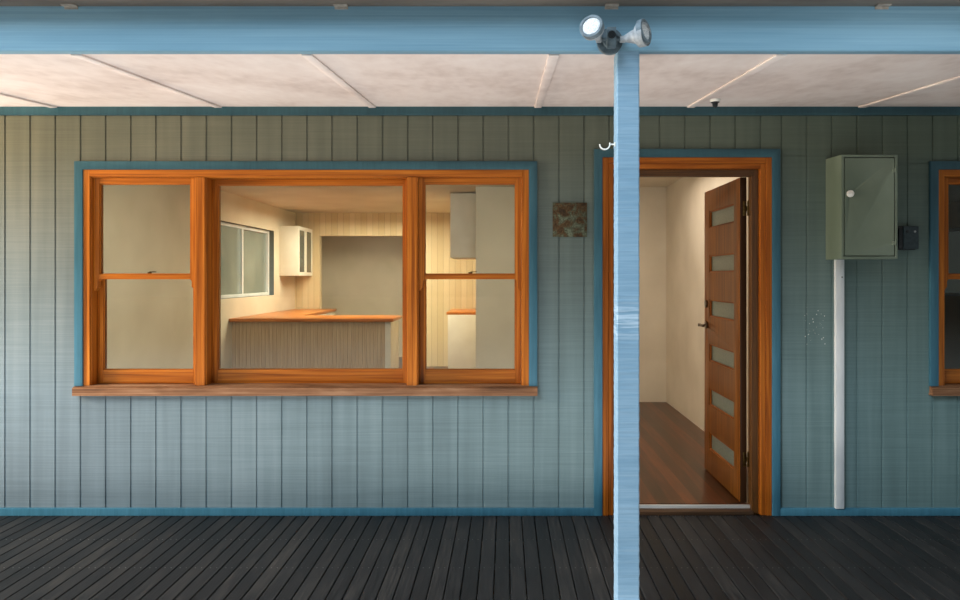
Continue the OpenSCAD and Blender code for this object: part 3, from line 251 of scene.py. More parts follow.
base_paint = Finish("base_paint", 0.7).shaded((2, 2, 9), 5, (0.3, (84, 92, 88)), (0.75, (104, 112, 106)))
base_paint.relief(base_paint.grain((3, 3, 220), 3), 0.0006)
finished(["base_boards"], base_paint)


# Inside, hardwood floor boards run back from the front door, sanded and coated.
# They are one slab in the frame; the board edges are fine dark lines.
polished_floor = Finish("polished_floor", 0.28)
floor_board_w = 0.085
within, shade = polished_floor.by_board(polished_floor.axis("X"), floor_board_w, 0.377)
streak = polished_floor.grain((34, 2.2, 1), 4, 0.4)
tone = polished_floor.blend((streak, 0.6), (shade, 0.4))
wood = polished_floor.ramp(tone, (0.25, (42, 18, 6)), (0.5, (72, 30, 9)), (0.75, (108, 52, 20)))
seam = polished_floor.ramp(within, (0.0, 0.15), (0.02, 1.0))
polished_floor.colour(polished_floor.mixed(1.0, wood, seam, "MULTIPLY"))
finished(["floor_boards"], polished_floor)


# The deck is laid with 70 mm boards square to the wall, 4 mm apart, screwed to each
# joist and stained near black; the stain has worn grey along their middles.
def meshed(bm, name):
    """The finished bmesh as a mesh."""
    mesh = bpy.data.meshes.new(name)
    bm.to_mesh(mesh)
    bm.free()
    return mesh


def settled(holder, name):
    """The holder's mesh with its modifiers worked out; the holder itself goes."""
    shown = holder.evaluated_get(bpy.context.evaluated_depsgraph_get())
    mesh = bpy.data.meshes.new_from_object(shown)
    mesh.name = name
    bpy.data.objects.remove(holder)
    return mesh


def into_scene(name, mesh, made, slot, body, *replaced):
    """A finished piece, at the origin, on its body and standing for its CAD nodes."""
    obj = linked(name, mesh)
    mesh.materials.clear()
    mesh.materials.append(made.mat)
    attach(obj, body)
    if replaced:
        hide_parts(*replaced)
    return obj


class Timber:
    """A piece made of milled lengths with eased edges, whose grain runs along each."""

    def __init__(self, name, seed=1):
        self.name = name
        self.bm = bmesh.new()
        self.layer = self.bm.verts.layers.float_vector.new("grain")
        self.luck = random.Random(seed)

    def mark(self, verts, along):
        shift = Vector([self.luck.uniform(-9, 9) for _ in range(3)])
        for v in verts:
            x, y, z = v.co
            v[self.layer] = shift + Vector(((y, z, x), (x, z, y), (x, y, z))[along])

    def length(self, low, high, along=2, ease=0.0015):
        """A straight length between two opposite corners, given in either order."""
        centre = [(a + b) / 2 for a, b in zip(low, high)]
        reach = [abs(b - a) / 2 for a, b in zip(low, high)]
        e = min(ease, min(reach) * 0.45)
        corners = []
        for signs in itertools.product((-1, 1), repeat=3):
            for flat in range(3):
                inset = [0 if k == flat else e for k in range(3)]
                corners.append(self.bm.verts.new(
                    [c + s * (r - i) for c, s, r, i in zip(centre, signs, reach, inset)]))
        bmesh.ops.convex_hull(self.bm, input=corners)
        self.mark(corners, along)

    def profile(self, outline, low, high, across, along, fibre=None):
        """An outline in two axes, drawn out along the third; fibre is the way of its grain."""
        def corner(p, t):
            q = [0, 0, 0]
            q[along] = t
            q[across[0]], q[across[1]] = p
            return self.bm.verts.new(q)
        first = [corner(p, low) for p in outline]
        last = [corner(p, high) for p in outline]
        faces = [self.bm.faces.new(first[::-1]), self.bm.faces.new(last)]
        for i in range(len(outline)):
            j = (i + 1) % len(outline)
            faces.append(self.bm.faces.new([first[i], first[j], last[j], last[i]]))
        bmesh.ops.recalc_face_normals(self.bm, faces=faces)
        self.mark(first + last, along if fibre is None else fibre)

    def mesh(self):
        bmesh.ops.dissolve_limit(
            self.bm, angle_limit=0.001, verts=self.bm.verts, edges=self.bm.edges)
        return meshed(self.bm, self.name)

    def place(self, made, slot, body, *replaced):
        into_scene(self.name, self.mesh(), made, slot, body, *replaced)


class Maker(Tree):
    """A Geometry Nodes tree with named inputs, turned into a plain mesh at the end."""

    def __init__(self, name, **sizes):
        self.name = name
        self.tree = bpy.data.node_groups.new(name, "GeometryNodeTree")
        self.sizes = {}
        for key, value in sizes.items():
            kind = "NodeSocketInt" if isinstance(value, int) else "NodeSocketFloat"
            made = self.tree.interface.new_socket(key, in_out="INPUT", socket_type=kind)
            self.sizes[made.identifier] = value
        self.tree.interface.new_socket("Geometry", in_out="OUTPUT", socket_type="NodeSocketGeometry")
        self.inputs = self.tree.nodes.new("NodeGroupInput").outputs

    def place(self, geometry, made, slot, body, *replaced):
        """Work the tree out once and put its mesh in the scene."""
        real = self.node("GeometryNodeRealizeInstances", {"Geometry": geometry}).outputs[0]
        coat = self.node("GeometryNodeSetMaterial", {"Geometry": real, "Material": made.mat}).outputs[0]
        self.node("NodeGroupOutput", {0: coat})
        holder = linked(self.name, bpy.data.meshes.new(self.name + "_start"))
        made_by = holder.modifiers.new("maker", "NODES")
        made_by.node_group = self.tree
        for identifier, value in self.sizes.items():
            made_by[identifier] = value
        into_scene(self.name, settled(holder, self.name), made, slot, body, *replaced)


def screw_head(make, corners, depth):
    """A flat round head whose radius is the tree's own input."""
    sizes = {"Vertices": corners, "Radius": make.inputs["Radius"], "Depth": depth}
    return make.node("GeometryNodeMeshCylinder", sizes).outputs["Mesh"]


def rows(make, counts, steps, first, shape):
    """Instances of a shape on a grid of up to three axes, from first on."""
    points = None
    for count, step in zip(counts, steps):
        line = {"Count": count, "Offset": step}
        if points is None:
            line["Start Location"] = first
        more = make.node("GeometryNodeMeshLine", line).outputs[0]
        if points is not None:
            laid = make.node("GeometryNodeInstanceOnPoints", {"Points": more, "Instance": points})
            more = make.node("GeometryNodeRealizeInstances", {"Geometry": laid.outputs[0]}).outputs[0]
        points = more
    return make.node("GeometryNodeInstanceOnPoints", {"Points": points, "Instance": shape}).outputs[0]


board_w, board_pitch = 0.0700, 0.0743
deck_stain = Finish("deck_stain", 0.62)
lot = deck_stain.by_board(deck_stain.axis("X"), board_pitch, 0.6180)[1]
worn = deck_stain.grain((90, 5, 1), 5, 0.3)
patch = deck_stain.grain((2.2, 1.4, 1), 4)
wear = deck_stain.blend((worn, 0.55), (patch, 0.3), (lot, 0.16))
deck_stain.toned(
    wear, (0.38, (20, 21, 22)), (0.54, (35, 36, 37)), (0.68, (54, 53, 51)), (0.84, (96, 92, 88)))
deck_stain.give("Roughness", deck_stain.ramp(wear, (0.3, 0.5), (0.75, 0.78)))
deck_stain.relief(worn, 0.0012)
deck_low, deck_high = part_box("deck_boards")
board_n = int((deck_high.x - deck_low.x - board_w) / board_pitch) + 1
board_l = deck_high.y - deck_low.y
board_t = deck_high.z - deck_low.z
boards = Maker("deck_boards_laid", Boards=board_n, Pitch=board_pitch)
one = Timber("deck_board")
one.length((-board_w / 2, 0, 0), (board_w / 2, board_l, board_t), 1, 0.003)
one_board = linked("deck_board", one.mesh())
shape = boards.node("GeometryNodeObjectInfo", {"Object": one_board})
first_board = (-(board_n - 1) * board_pitch / 2, deck_low.y, deck_low.z)
apart = boards.node("ShaderNodeCombineXYZ", {"X": boards.inputs["Pitch"]}).outputs[0]
laid = rows(boards, (boards.inputs["Boards"],), (apart,), first_board, shape.outputs["Geometry"])
boards.place(laid, deck_stain, "deck", "house", "deck_boards")
bpy.data.objects.remove(one_board)
screw_metal = Finish("screw_metal", 0.4, 0.9).shaded(
    (90, 90, 90), 2, (0.3, (110, 108, 104)), (0.7, (160, 158, 152)))
under_low, under_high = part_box("deck_frame")
joist_w, joist_n, edge_in = 0.045, 5, 0.020
joist_pitch = (under_high.y - under_low.y - joist_w) / (joist_n - 1)
fixings = Maker("deck_screws", Boards=board_n, Joists=joist_n, Radius=0.0032)
first_screw = (first_board[0] - board_w / 2 + edge_in, under_low.y + joist_w / 2, deck_high.z - 0.0008)
placed = rows(fixings, (fixings.inputs["Boards"], 2, fixings.inputs["Joists"]),
              ((board_pitch, 0, 0), (board_w - 2 * edge_in, 0, 0), (0, joist_pitch, 0)),
              first_screw, screw_head(fixings, 8, 0.003))
fixings.place(placed, screw_metal, "deck", "house")


# The outside walls are grooved sheet cladding on studs: sawn-face plywood with a
# groove every 150 mm, painted, with a dark shadow in each groove. Each wall in the
# frame is one slab, so the grooves are cut into a copy of it.
def copied(node):
    """A merged copy of a CAD node's mesh with its flat faces made whole."""
    bm = bmesh.new()
    bm.from_mesh(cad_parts[node].data)
    bmesh.ops.remove_doubles(bm, verts=bm.verts, dist=0.00002)
    bmesh.ops.dissolve_limit(bm, angle_limit=0.002, verts=bm.verts, edges=bm.edges)
    return bm


groove_pitch = 0.1505
groove_wide, groove_narrow, groove_deep = 0.0055, 0.0035, 0.0055
joint_half, joint_deep = 0.0014, 0.003
clear_of_face, clear_of_end = 0.01, 0.02


def cut_grooves(node, first, axis, at, joints=()):
    """Cut V-sided grooves into the outside face of a wall slab, and joints between sheets."""
    name = node + "_clad"
    low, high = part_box(node)
    across = 1 - axis
    side = 1 if at < (low[across] + high[across]) / 2 else -1
    outside = at - side * clear_of_face
    bottom, top = low.z - clear_of_face, high.z + clear_of_face
    cutter = Timber(name + "_cutter")
    x = first + math.ceil((low[axis] + clear_of_end - first) / groove_pitch) * groove_pitch
    while x < high[axis] - clear_of_end:
        outline = [(x - groove_wide, outside), (x + groove_wide, outside), (x + groove_wide, at),
                   (x + groove_narrow, at + side * groove_deep),
                   (x - groove_narrow, at + side * groove_deep), (x - groove_wide, at)]
        cutter.profile(outline, bottom, top, (axis, across), 2)
        x += groove_pitch
    joint_cutter = Timber(name + "_joint_cutter")
    for left, right, z in joints:
        joint_cutter.length(
            (left, outside, z - joint_half), (right, at + joint_deep, z + joint_half), 0, 0.0001)
    tools = [linked(made_by.name, made_by.mesh()) for made_by in (cutter, joint_cutter)]
    wall = linked(name + "_slab", meshed(copied(node), name))
    for tool in tools:
        if tool.data.polygons:
            saw = wall.modifiers.new("grooves", "BOOLEAN")
            saw.object = tool
            saw.solver = "EXACT"
    mesh = settled(wall, name)
    for spent in tools:
        bpy.data.objects.remove(spent)
    into_scene(name, mesh, cladding_paint, "cladding", "house", node)
    mesh.materials.append(wall_lining.mat)
    inside = (high if side > 0 else low)[across]
    for polygon in mesh.polygons:
        if abs(polygon.center[across] - inside) < 0.001:
            polygon.material_index = 1


wall_lining = Finish("wall_lining", 0.6).shaded((2, 2, 2), 4, (0.3, (206, 193, 168)), (0.7, (222, 210, 186)))
wall_lining.relief(wall_lining.grain((180, 180, 180), 2), 0.0003)

cladding_paint = Finish("cladding_paint", 0.72)
height = cladding_paint.axis("Z")
saw_lines = cladding_paint.grain((2.5, 2.5, 190), 4, 0.2)
saw_bands = cladding_paint.grain((1.2, 1.2, 26), 4, 0.3)
stains = cladding_paint.grain((0.9, 0.9, 0.7), 5, 0.4)
drips = cladding_paint.grain((16, 16, 0.8), 4)
tone = cladding_paint.blend((saw_bands, 0.08), (saw_lines, 0.24), (stains, 0.36), (drips, 0.32))
paint = cladding_paint.ramp(
    tone, (0.36, (93, 109, 115)), (0.5, (106, 124, 130)), (0.64, (121, 138, 144)))
# Painted light and shade: above about 0.9 m the paint is multiplied darker towards the top, standing for the
# shade under the verandah; at the top it is warm at the left end, for the warm light there, and darker
# towards the right.
along_wall = cladding_paint.times(cladding_paint.sums("ADD", cladding_paint.axis("X"), half), 1 / (2 * half))
painted_eave_tint = cladding_paint.ramp(
    along_wall, (0.0, (222, 190, 150)), (0.35, (212, 190, 158)), (0.62, (190, 188, 156)))
painted_eave_shade = cladding_paint.mixed(
    cladding_paint.ramp(cladding_paint.times(height, 0.4), (0.36, 0.0), (0.96, 1.0)),
    cladding_paint.ramp(along_wall, (0.1, (255, 250, 252)), (0.62, (238, 255, 244))), painted_eave_tint)
cladding_paint.colour(cladding_paint.mixed(1.0, paint, painted_eave_shade, "MULTIPLY"))
cladding_paint.relief(saw_lines, 0.0006)
cladding_paint.relief(saw_bands, 0.0002)
sheet_joints = ((0.296, 0.596, 2.336), (0.9, 1.19, 2.291))
for node, first, axis, at, joints in (
        ("front_wall_left", -1.3415, 0, face, ()), ("front_wall_over_door", -1.3415, 0, face, ()),
        ("front_wall_right", 0.4400, 0, face, sheet_joints), ("back_wall", 0.0, 0, back, ()),
        ("side_wall_left", 0.0, 1, -half, ()), ("side_wall_right", 0.0, 1, half, ())):
    cut_grooves(node, first, axis, at, joints)


# Blue boards finish the walls: a skirting on the deck, a head board under the verandah
# ceiling, corner boards, and flat boards round each window and the front door.
def eased(node, how, made, slot, body="house", ease=0.002, steps=2):
    """A CAD node's own shape with its sharp edges rounded, standing for it."""
    name = node + "_" + how
    holder = linked(name + "_start", meshed(copied(node), name + "_start"))
    edge = holder.modifiers.new("edges", "BEVEL")
    edge.width = ease
    edge.segments = steps
    edge.limit_method = "ANGLE"
    edge.angle_limit = math.radians(30)
    edge.use_clamp_overlap = True
    mesh = settled(holder, name)
    for polygon in mesh.polygons:
        polygon.use_smooth = True
    mesh.set_sharp_from_angle(angle=math.radians(32))
    into_scene(name, mesh, made, slot, body, node)


blue_paint = Finish("blue_paint", 0.5)
strokes = blue_paint.grain((60, 60, 4), 4, 0.3)
clouds = blue_paint.grain((3, 3, 3), 4)
tone = blue_paint.blend((strokes, 0.5), (clouds, 0.5))
blue = blue_paint.ramp(tone, (0.3, (46, 92, 110)), (0.7, (68, 118, 138)))
# Painted shade: the trims are multiplied darker towards the top, standing for the shade under the verandah
# ceiling.
shade = blue_paint.ramp(
    blue_paint.times(blue_paint.axis("Z"), 0.4), (0.36, (255, 255, 255)), (0.98, (178, 178, 168)))
blue_paint.colour(blue_paint.mixed(1.0, blue, shade, "MULTIPLY"))
blue_paint.relief(strokes, 0.0004)
eased("wall_trims", "painted", blue_paint, "blue_trim")
eased("window_surrounds", "painted", blue_paint, "blue_trim")
eased("door_surround", "painted", blue_paint, "blue_trim")
eased("barge_boards", "painted", blue_paint, "blue_trim")


# The two front windows are clear-finished cedar: a solid frame on a sloping sill, a
# double-hung pair of sashes at each end and a fixed light between. Frames are built
# up from separate lengths: jambs and mullions stand, heads and rails run between.
def clear_coated(made, broad, fine, share, deep, specular, coat, coat_rough, *stops):
    """Timber's broad and fine grain under a thin clear coat; gives back its colour."""
    lines = made.grain(*fine)
    tone = made.blend((made.grain(*broad), share), (lines, 1 - share))
    made.relief(lines, deep).give("Specular IOR Level", specular)
    made.give("Coat Weight", coat).give("Coat Roughness", coat_rough)
    return made.ramp(tone, *stops)


cedar = Finish("cedar", 0.36).along_grain()
cedar.colour(clear_coated(
    cedar, ((64, 64, 1.3), 5, 0.7), ((380, 380, 4.0), 3, 0.4), 0.66, 0.0003, 0.25, 0.12, 0.3,
    (0.30, (96, 46, 13)), (0.46, (152, 83, 22)), (0.60, (180, 106, 34)), (0.76, (202, 134, 58))))

sill_z0, head_z1 = (corner.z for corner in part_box("window_frames"))
window_half, jamb, mullion, hung, step = 1.329, 0.045, 0.070, 0.616, 0.006
window_x = 2.549
front_y = face - 0.012
body_y, proud_y = front_y + 0.010, front_y + 0.012
back_y = face + wall_thick
upper_y, lower_y, fixed_y, sash_t = face + 0.018, face + 0.060, face + 0.086, 0.037
sill_top = sill_z0 + 0.057
head_z = head_z1 - jamb
meet_z = deck_top + 1.409
fixed_half = window_half - jamb - hung - mullion
hung_x = fixed_half + mullion + hung / 2


def framed(wood, x0, x1, z0, z1, left, right):
    """One upright of the frame: its body, and a proud face set in by the bead step."""
    wood.length((x0, body_y, z0), (x1, back_y, z1))
    wood.length((x0 + left, front_y, z0), (x1 - right, proud_y, z1))


frames = Timber("window_frames_cedar", 3)
sills = Timber("window_sills_cedar", 4)
for x in (-window_x, window_x):
    framed(frames, x - window_half, x - window_half + jamb, sill_top, head_z1, 0, step)
    framed(frames, x + window_half - jamb, x + window_half, sill_top, head_z1, step, 0)
    for e in (-1, 1):
        m = x + e * (fixed_half + mullion / 2)
        framed(frames, m - mullion / 2, m + mullion / 2, sill_top, head_z, step, step)
    a, b = x - window_half + jamb, x + window_half - jamb
    frames.length((a, body_y, head_z), (b, back_y, head_z1), 0)
    frames.length((a - step, front_y, head_z + step), (b + step, proud_y, head_z1), 0)
    sills.length((x - window_half, front_y + 0.001, sill_z0 + 0.014), (x + window_half, back_y, sill_top), 0)
    out, nose = face - 0.040, sill_z0 + 0.048
    sills.profile(
        [(out, sill_z0), (out, nose - 0.006), (out + 0.002, nose - 0.002), (out + 0.006, nose),
         (front_y + 0.004, nose + 0.006), (front_y + 0.004, sill_z0 + 0.012), (face, sill_z0 + 0.012),
         (face, sill_z0), (face - 0.014, sill_z0), (face - 0.014, sill_z0 + 0.006),
         (face - 0.022, sill_z0 + 0.006), (face - 0.022, sill_z0)],
        x - window_half - 0.050, x + window_half + 0.050, (1, 2), 0)
frames.place(cedar, "cedar", "house", "window_frames")

weathered_cedar = Finish("weathered_cedar", 0.6).along_grain()
checks = weathered_cedar.grain((150, 150, 2.2), 4, 0.5)
bleach = weathered_cedar.grain((9, 9, 3.0), 5, 0.6)
tone = weathered_cedar.blend((checks, 0.5), (bleach, 0.5))
weathered_cedar.toned(tone, (0.32, (84, 56, 36)), (0.48, (122, 84, 56)), (0.64, (150, 116, 88)))
weathered_cedar.relief(checks, 0.0006)
sills.place(weathered_cedar, "cedar", "house")

stile, top_rail, bottom_rail, meeting_rail, bead = 0.038, 0.038, 0.087, 0.035, 0.005
horn_l, horn_in, horn_r, horn_steps = 0.070, 0.013, 0.024, 6


def sash(wood, x0, x1, z0, z1, y, top, bottom, horn=False):
    """Two stiles with rails between them; a bead steps down to the glass outside."""
    front, rear = y + 0.008, y + sash_t
    for inner, outer, way in ((x0 + stile, x0, 1), (x1 - stile, x1, -1)):
        if horn:
            foot, neck = z0 - horn_l, inner - way * horn_in
            points = [(outer, z1), (outer, foot)]
            for i in range(horn_steps + 1):
                t = math.pi / 2 * i / horn_steps
                belly = horn_r * (1 - math.sin(t)) * 0.4 + 0.006 * math.cos(t)
                points.append((neck - way * belly, foot + horn_r * math.sin(t)))
            points += [(neck, z0 - 0.012), (inner, z0), (inner, z1)]
            wood.profile(points, front, rear, (0, 2), 1, 2)
            trim = [(px if abs(px - inner) > 0.001 else inner - way * bead, pz) for px, pz in points]
            wood.profile(trim, y, front + 0.001, (0, 2), 1, 2)
        else:
            wood.length((inner, front, z0), (outer, rear, z1))
            wood.length((inner - way * bead, y, z0), (outer, front + 0.001, z1))
    a, b = x0 + stile, x1 - stile
    wood.length((a, front, z1 - top), (b, rear, z1), 0)
    wood.length((a - bead, y, z1 - top + bead), (b + bead, front + 0.001, z1), 0)
    wood.length((a, front, z0), (b, rear, z0 + bottom), 0)
    wood.length((a - bead, y, z0), (b + bead, front + 0.001, z0 + bottom - bead), 0)


play = 0.0016
uppers = Timber("upper_sashes_cedar", 5)
lowers = Timber("lower_sashes_cedar", 8)
fixed = Timber("fixed_lights_cedar", 13)
for x in (-window_x, window_x):
    for e in (-1, 1):
        c = x + e * hung_x
        a, b = c - hung / 2 + play, c + hung / 2 - play
        sash(uppers, a, b, meet_z, head_z - play, upper_y, top_rail, meeting_rail, True)
        sash(lowers, a, b, sill_top + play, meet_z + meeting_rail, lower_y, meeting_rail, bottom_rail)
    sash(fixed, x - fixed_half, x + fixed_half, sill_top, head_z, fixed_y, top_rail, bottom_rail)
uppers.place(cedar, "cedar", "house", "upper_sashes")
lowers.place(cedar, "cedar", "house", "lower_sashes")
fixed.place(cedar, "cedar", "house", "fixed_lights")

clear_glass = Finish("clear_glass", 0.02)
see = clear_glass.node("ShaderNodeBsdfTransparent", {"Color": (0.90, 0.94, 0.92, 1)}).outputs[0]
shine = clear_glass.node("ShaderNodeBsdfGlossy", {"Roughness": 0.015}).outputs[0]
edge_on = clear_glass.node("ShaderNodeFresnel", {"IOR": 1.5}).outputs[0]
both = clear_glass.node("ShaderNodeMixShader", {0: edge_on, 1: see, 2: shine}).outputs[0]
clear_glass.put(clear_glass.tree.nodes["Material Output"].inputs["Surface"], both)
finished(["front_window_glass"], clear_glass)

dusty_glass = Finish("dusty_glass", 0.3).shaded((3, 3, 2), 4, (0.3, (132, 140, 126)), (0.7, (160, 166, 150)))
dusty_glass.give("Alpha", 0.62)
finished(["side_window_glass"], dusty_glass)

brass = Finish("brass", 0.34, 1.0).shaded((60, 60, 60), 4, (0.3, (104, 80, 46)), (0.7, (158, 130, 78)))
eased("sash_locks", "brass", brass, "brass", ease=0.0015)


# The windows in the side and back walls, which the photograph doesn't show, are sliding
# windows of white powder-coated aluminium, set in plain openings in the cladding.
white_aluminium = Finish("white_aluminium", 0.42).shaded(
    (5, 5, 2), 4, (0.3, (206, 206, 200)), (0.6, (226, 226, 221)))
eased("side_window_frames", "white", white_aluminium, "white_metal", ease=0.002)


# The front door hangs in a stepped cedar frame with a planted stop. The leaf is a
# veneered slab with six narrow lites of obscure glass, each held by small beads.
frame_low, frame_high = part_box("door_frame")
door_x = (frame_low.x + frame_high.x) / 2
frame_half = (frame_high.x - frame_low.x) / 2
face_width, stop_w = 0.095, 0.012
door_top = frame_high.z
stop_front, stop_back = face + 0.024, back_y - 0.006 - 0.040 - 0.005
doorway = Timber("door_frame_cedar", 21)
rebate = Timber("door_rebate_cedar", 22)
layers = ((0.0, 0.036, 0.015, doorway), (0.036, 0.066, 0.009, doorway), (0.066, face_width, -0.024, rebate))
for start, stop, proud, wood in layers:
    for e in (-1, 1):
        a, b = door_x + e * (frame_half - start), door_x + e * (frame_half - stop)
        wood.length((a, face - proud, deck_top), (b, back_y, door_top - start), 2, 0.002)
    wood.length((door_x - frame_half + stop, face - proud, door_top - stop),
                (door_x + frame_half - stop, back_y, door_top - start), 0, 0.002)
for e in (-1, 1):
    a = door_x + e * (frame_half - face_width)
    b = a - e * stop_w
    rebate.length((a, stop_front, deck_top), (b, stop_back, door_top - face_width), 2)
rebate.length((door_x - frame_half + face_width, stop_front, door_top - face_width - stop_w),
              (door_x + frame_half - face_width, stop_back, door_top - face_width), 0)
dark_cedar = Finish("dark_cedar", 0.4).along_grain()
dark_cedar.colour(clear_coated(
    dark_cedar, ((38, 38, 1.1), 5, 0.8), ((240, 240, 3.2), 3, 0.5), 0.66, 0.0003, 0.2, 0.08, 0.35,
    (0.3, (88, 42, 12)), (0.5, (140, 74, 20)), (0.7, (180, 106, 34))))
doorway.place(dark_cedar, "cedar", "house", "door_frame")
# Painted shade: the recessed layer and the stop take a darker copy of the cedar, standing for the shadow
# that falls into the rebate.
rebate_cedar = Finish("rebate_cedar", 0.5).along_grain()
lines = rebate_cedar.grain((300, 300, 3.4), 4, 0.5)
rebate_cedar.toned(lines, (0.3, (52, 32, 14)), (0.7, (96, 62, 28)))
rebate_cedar.relief(lines, 0.0003)
rebate.place(rebate_cedar, "cedar", "house")

threshold_finish = Finish("threshold_finish", 0.45)
scuff = threshold_finish.grain((3, 160, 160), 4)
metal = threshold_finish.ramp(scuff, (0.3, (176, 174, 168)), (0.7, (222, 220, 214)))
tread = threshold_finish.ramp(scuff, (0.3, (44, 30, 20)), (0.7, (82, 60, 42)))
strip_y = face + 0.0495
on_strip = threshold_finish.sums("GREATER_THAN", threshold_finish.axis("Y"), strip_y)
threshold_finish.colour(threshold_finish.mixed(on_strip, tread, metal))
threshold_finish.give("Metallic", threshold_finish.times(on_strip, 0.5))
eased("door_threshold", "strip", threshold_finish, "threshold")

leaf_low, leaf_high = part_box("door_leaf")
door_veneer = Finish("door_veneer", 0.38)
veneer = clear_coated(
    door_veneer, ((26, 26, 1.0), 5, 1.2), ((210, 210, 3.0), 3, 0.5), 0.62, 0.0002, 0.25, 0.15, 0.3,
    (0.3, (78, 40, 10)), (0.5, (118, 66, 18)), (0.7, (152, 92, 30)))
# Painted shade: the leaf's edge that faces out is coloured dark brown, standing for the shadow on it.
edge_strip = 0.0012
edge_in_painted_shade = door_veneer.sums("LESS_THAN", door_veneer.axis("Y"), leaf_low.y + edge_strip)
door_veneer.colour(door_veneer.mixed(edge_in_painted_shade, veneer, tint(52, 32, 18)))
eased("door_leaf", "veneered", door_veneer, "cedar_door", "front_door", 0.0015)
beads = Timber("lite_beads", 34)
lite_h, lite_pitch, leaf_stile, top_of_leaf = 0.122, 0.313, 0.125, 0.146
bead_w, bead_out, bead_in = 0.010, 0.004, 0.015
for i in range(6):
    z1 = leaf_high.z - top_of_leaf - i * lite_pitch
    z0 = z1 - lite_h
    y0, y1 = leaf_low.y + leaf_stile, leaf_high.y - leaf_stile
    for x0, x1 in ((leaf_low.x + bead_out, leaf_low.x + bead_in),
                   (leaf_high.x - bead_in, leaf_high.x - bead_out)):
        beads.length((x0, y0, z0), (x1, y1, z0 + bead_w), 1)
        beads.length((x0, y0, z1 - bead_w), (x1, y1, z1), 1)
        beads.length((x0, y0, z0 + bead_w), (x1, y0 + bead_w, z1 - bead_w), 2)
        beads.length((x0, y1 - bead_w, z0 + bead_w), (x1, y1, z1 - bead_w), 2)
beads.place(dark_cedar, "cedar_door", "front_door")

obscure_glass = Finish("obscure_glass", 0.35).shaded(
    (90, 90, 90), 2, (0.3, (120, 132, 116)), (0.7, (154, 162, 144)))
obscure_glass.relief(obscure_glass.pattern, 0.0012)
obscure_glass.give("Transmission Weight", 0.35)
finished(["door_glass"], obscure_glass)

eased("frame_hinges", "brass", brass, "brass", ease=0.0006)
eased("leaf_hinges", "brass", brass, "brass", "front_door", 0.0006)
satin_metal = Finish("satin_metal", 0.3, 1.0).shaded(
    (20, 300, 300), 3, (0.3, (96, 90, 82)), (0.7, (142, 134, 122)))
eased("door_deadlock", "satin", satin_metal, "satin_metal", "front_door", 0.0015)
eased("door_lever", "satin", satin_metal, "satin_metal", "lever", 0.002, 3)


# The verandah: sawn posts under a deep front beam, both painted pale blue over the
# saw marks, and a sheet ceiling that follows the roof's slope with cover strips.
pale_blue_paint = Finish("pale_blue_paint", 0.6)
saw = pale_blue_paint.grain((5, 5, 150), 4, 0.5)
weather = pale_blue_paint.grain((2, 2, 3.4), 5, 0.5)
tone = pale_blue_paint.blend((saw, 0.55), (weather, 0.45))
pale_blue = pale_blue_paint.ramp(
    tone, (0.33, (112, 147, 170)), (0.5, (127, 160, 182)), (0.68, (144, 173, 192)))
scuff_z, scuff_reach = 1.44, 0.10
above_scuff = pale_blue_paint.sums("SUBTRACT", pale_blue_paint.axis("Z"), scuff_z)
near = pale_blue_paint.sums("ABSOLUTE", above_scuff, 0)
patch = pale_blue_paint.ramp(pale_blue_paint.sums("DIVIDE", near, scuff_reach), (0.0, 1.0), (1.0, 0.0))
rubbed = pale_blue_paint.ramp(pale_blue_paint.grain((9, 9, 120), 5), (0.42, 0.0), (0.60, 0.75))
left_side = pale_blue_paint.sums("LESS_THAN", pale_blue_paint.axis("X"), 0)
share = pale_blue_paint.times(pale_blue_paint.times(patch, rubbed), left_side)
pale_blue_paint.colour(pale_blue_paint.mixed(share, pale_blue, tint(196, 214, 226)))
pale_blue_paint.relief(saw, 0.0010)


def sawn_length(name, low, high, seed, rise):
    """A post whose sides waver a little from one saw stroke to the next."""
    luck = random.Random(seed)
    bm = bmesh.new()
    rings = []
    n = int((high[2] - low[2]) / rise)
    cut = 0.004
    for i in range(n + 1):
        z = low[2] + (high[2] - low[2]) * i / n
        bite = [luck.uniform(0.0, 0.0016) for _ in range(4)]
        x0, x1, y0, y1 = low[0] + bite[0], high[0] - bite[1], low[1] + bite[2], high[1] - bite[3]
        rings.append([bm.verts.new(p) for p in (
            (x0 + cut, y0, z), (x1 - cut, y0, z), (x1, y0 + cut, z), (x1, y1 - cut, z),
            (x1 - cut, y1, z), (x0 + cut, y1, z), (x0, y1 - cut, z), (x0, y0 + cut, z))])
    for a, b in zip(rings, rings[1:]):
        for k in range(8):
            bm.faces.new([a[k], a[(k + 1) % 8], b[(k + 1) % 8], b[k]])
    bm.faces.new(rings[0][::-1])
    bm.faces.new(rings[-1])
    return meshed(bm, name)


post_low, post_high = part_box("verandah_posts")
post_w, post_mid = 0.090, 0.877
posts = bmesh.new()
for k, x in enumerate((post_low.x + post_w / 2, -post_mid, post_mid, post_high.x - post_w / 2)):
    one_post = sawn_length("post", (x - post_w / 2, post_low.y, post_low.z),
                           (x + post_w / 2, post_high.y, post_high.z), 40 + k, 0.011)
    posts.from_mesh(one_post)
    bpy.data.meshes.remove(one_post)
into_scene("verandah_posts_sawn", meshed(posts, "verandah_posts_sawn"), pale_blue_paint,
           "pale_blue_timber", "house", "verandah_posts")

beam_paint = Finish("beam_paint", 0.6)
saw = beam_paint.grain((1.2, 60, 130), 4, 0.5)
weather = beam_paint.grain((1.0, 3, 8), 5, 0.4)
tone = beam_paint.blend((saw, 0.5), (weather, 0.5))
beam_paint.toned(tone, (0.33, (100, 138, 158)), (0.5, (112, 149, 168)), (0.68, (126, 161, 178)))
beam_paint.relief(saw, 0.0007)
eased("verandah_beam", "painted", beam_paint, "pale_blue_timber", ease=0.004)

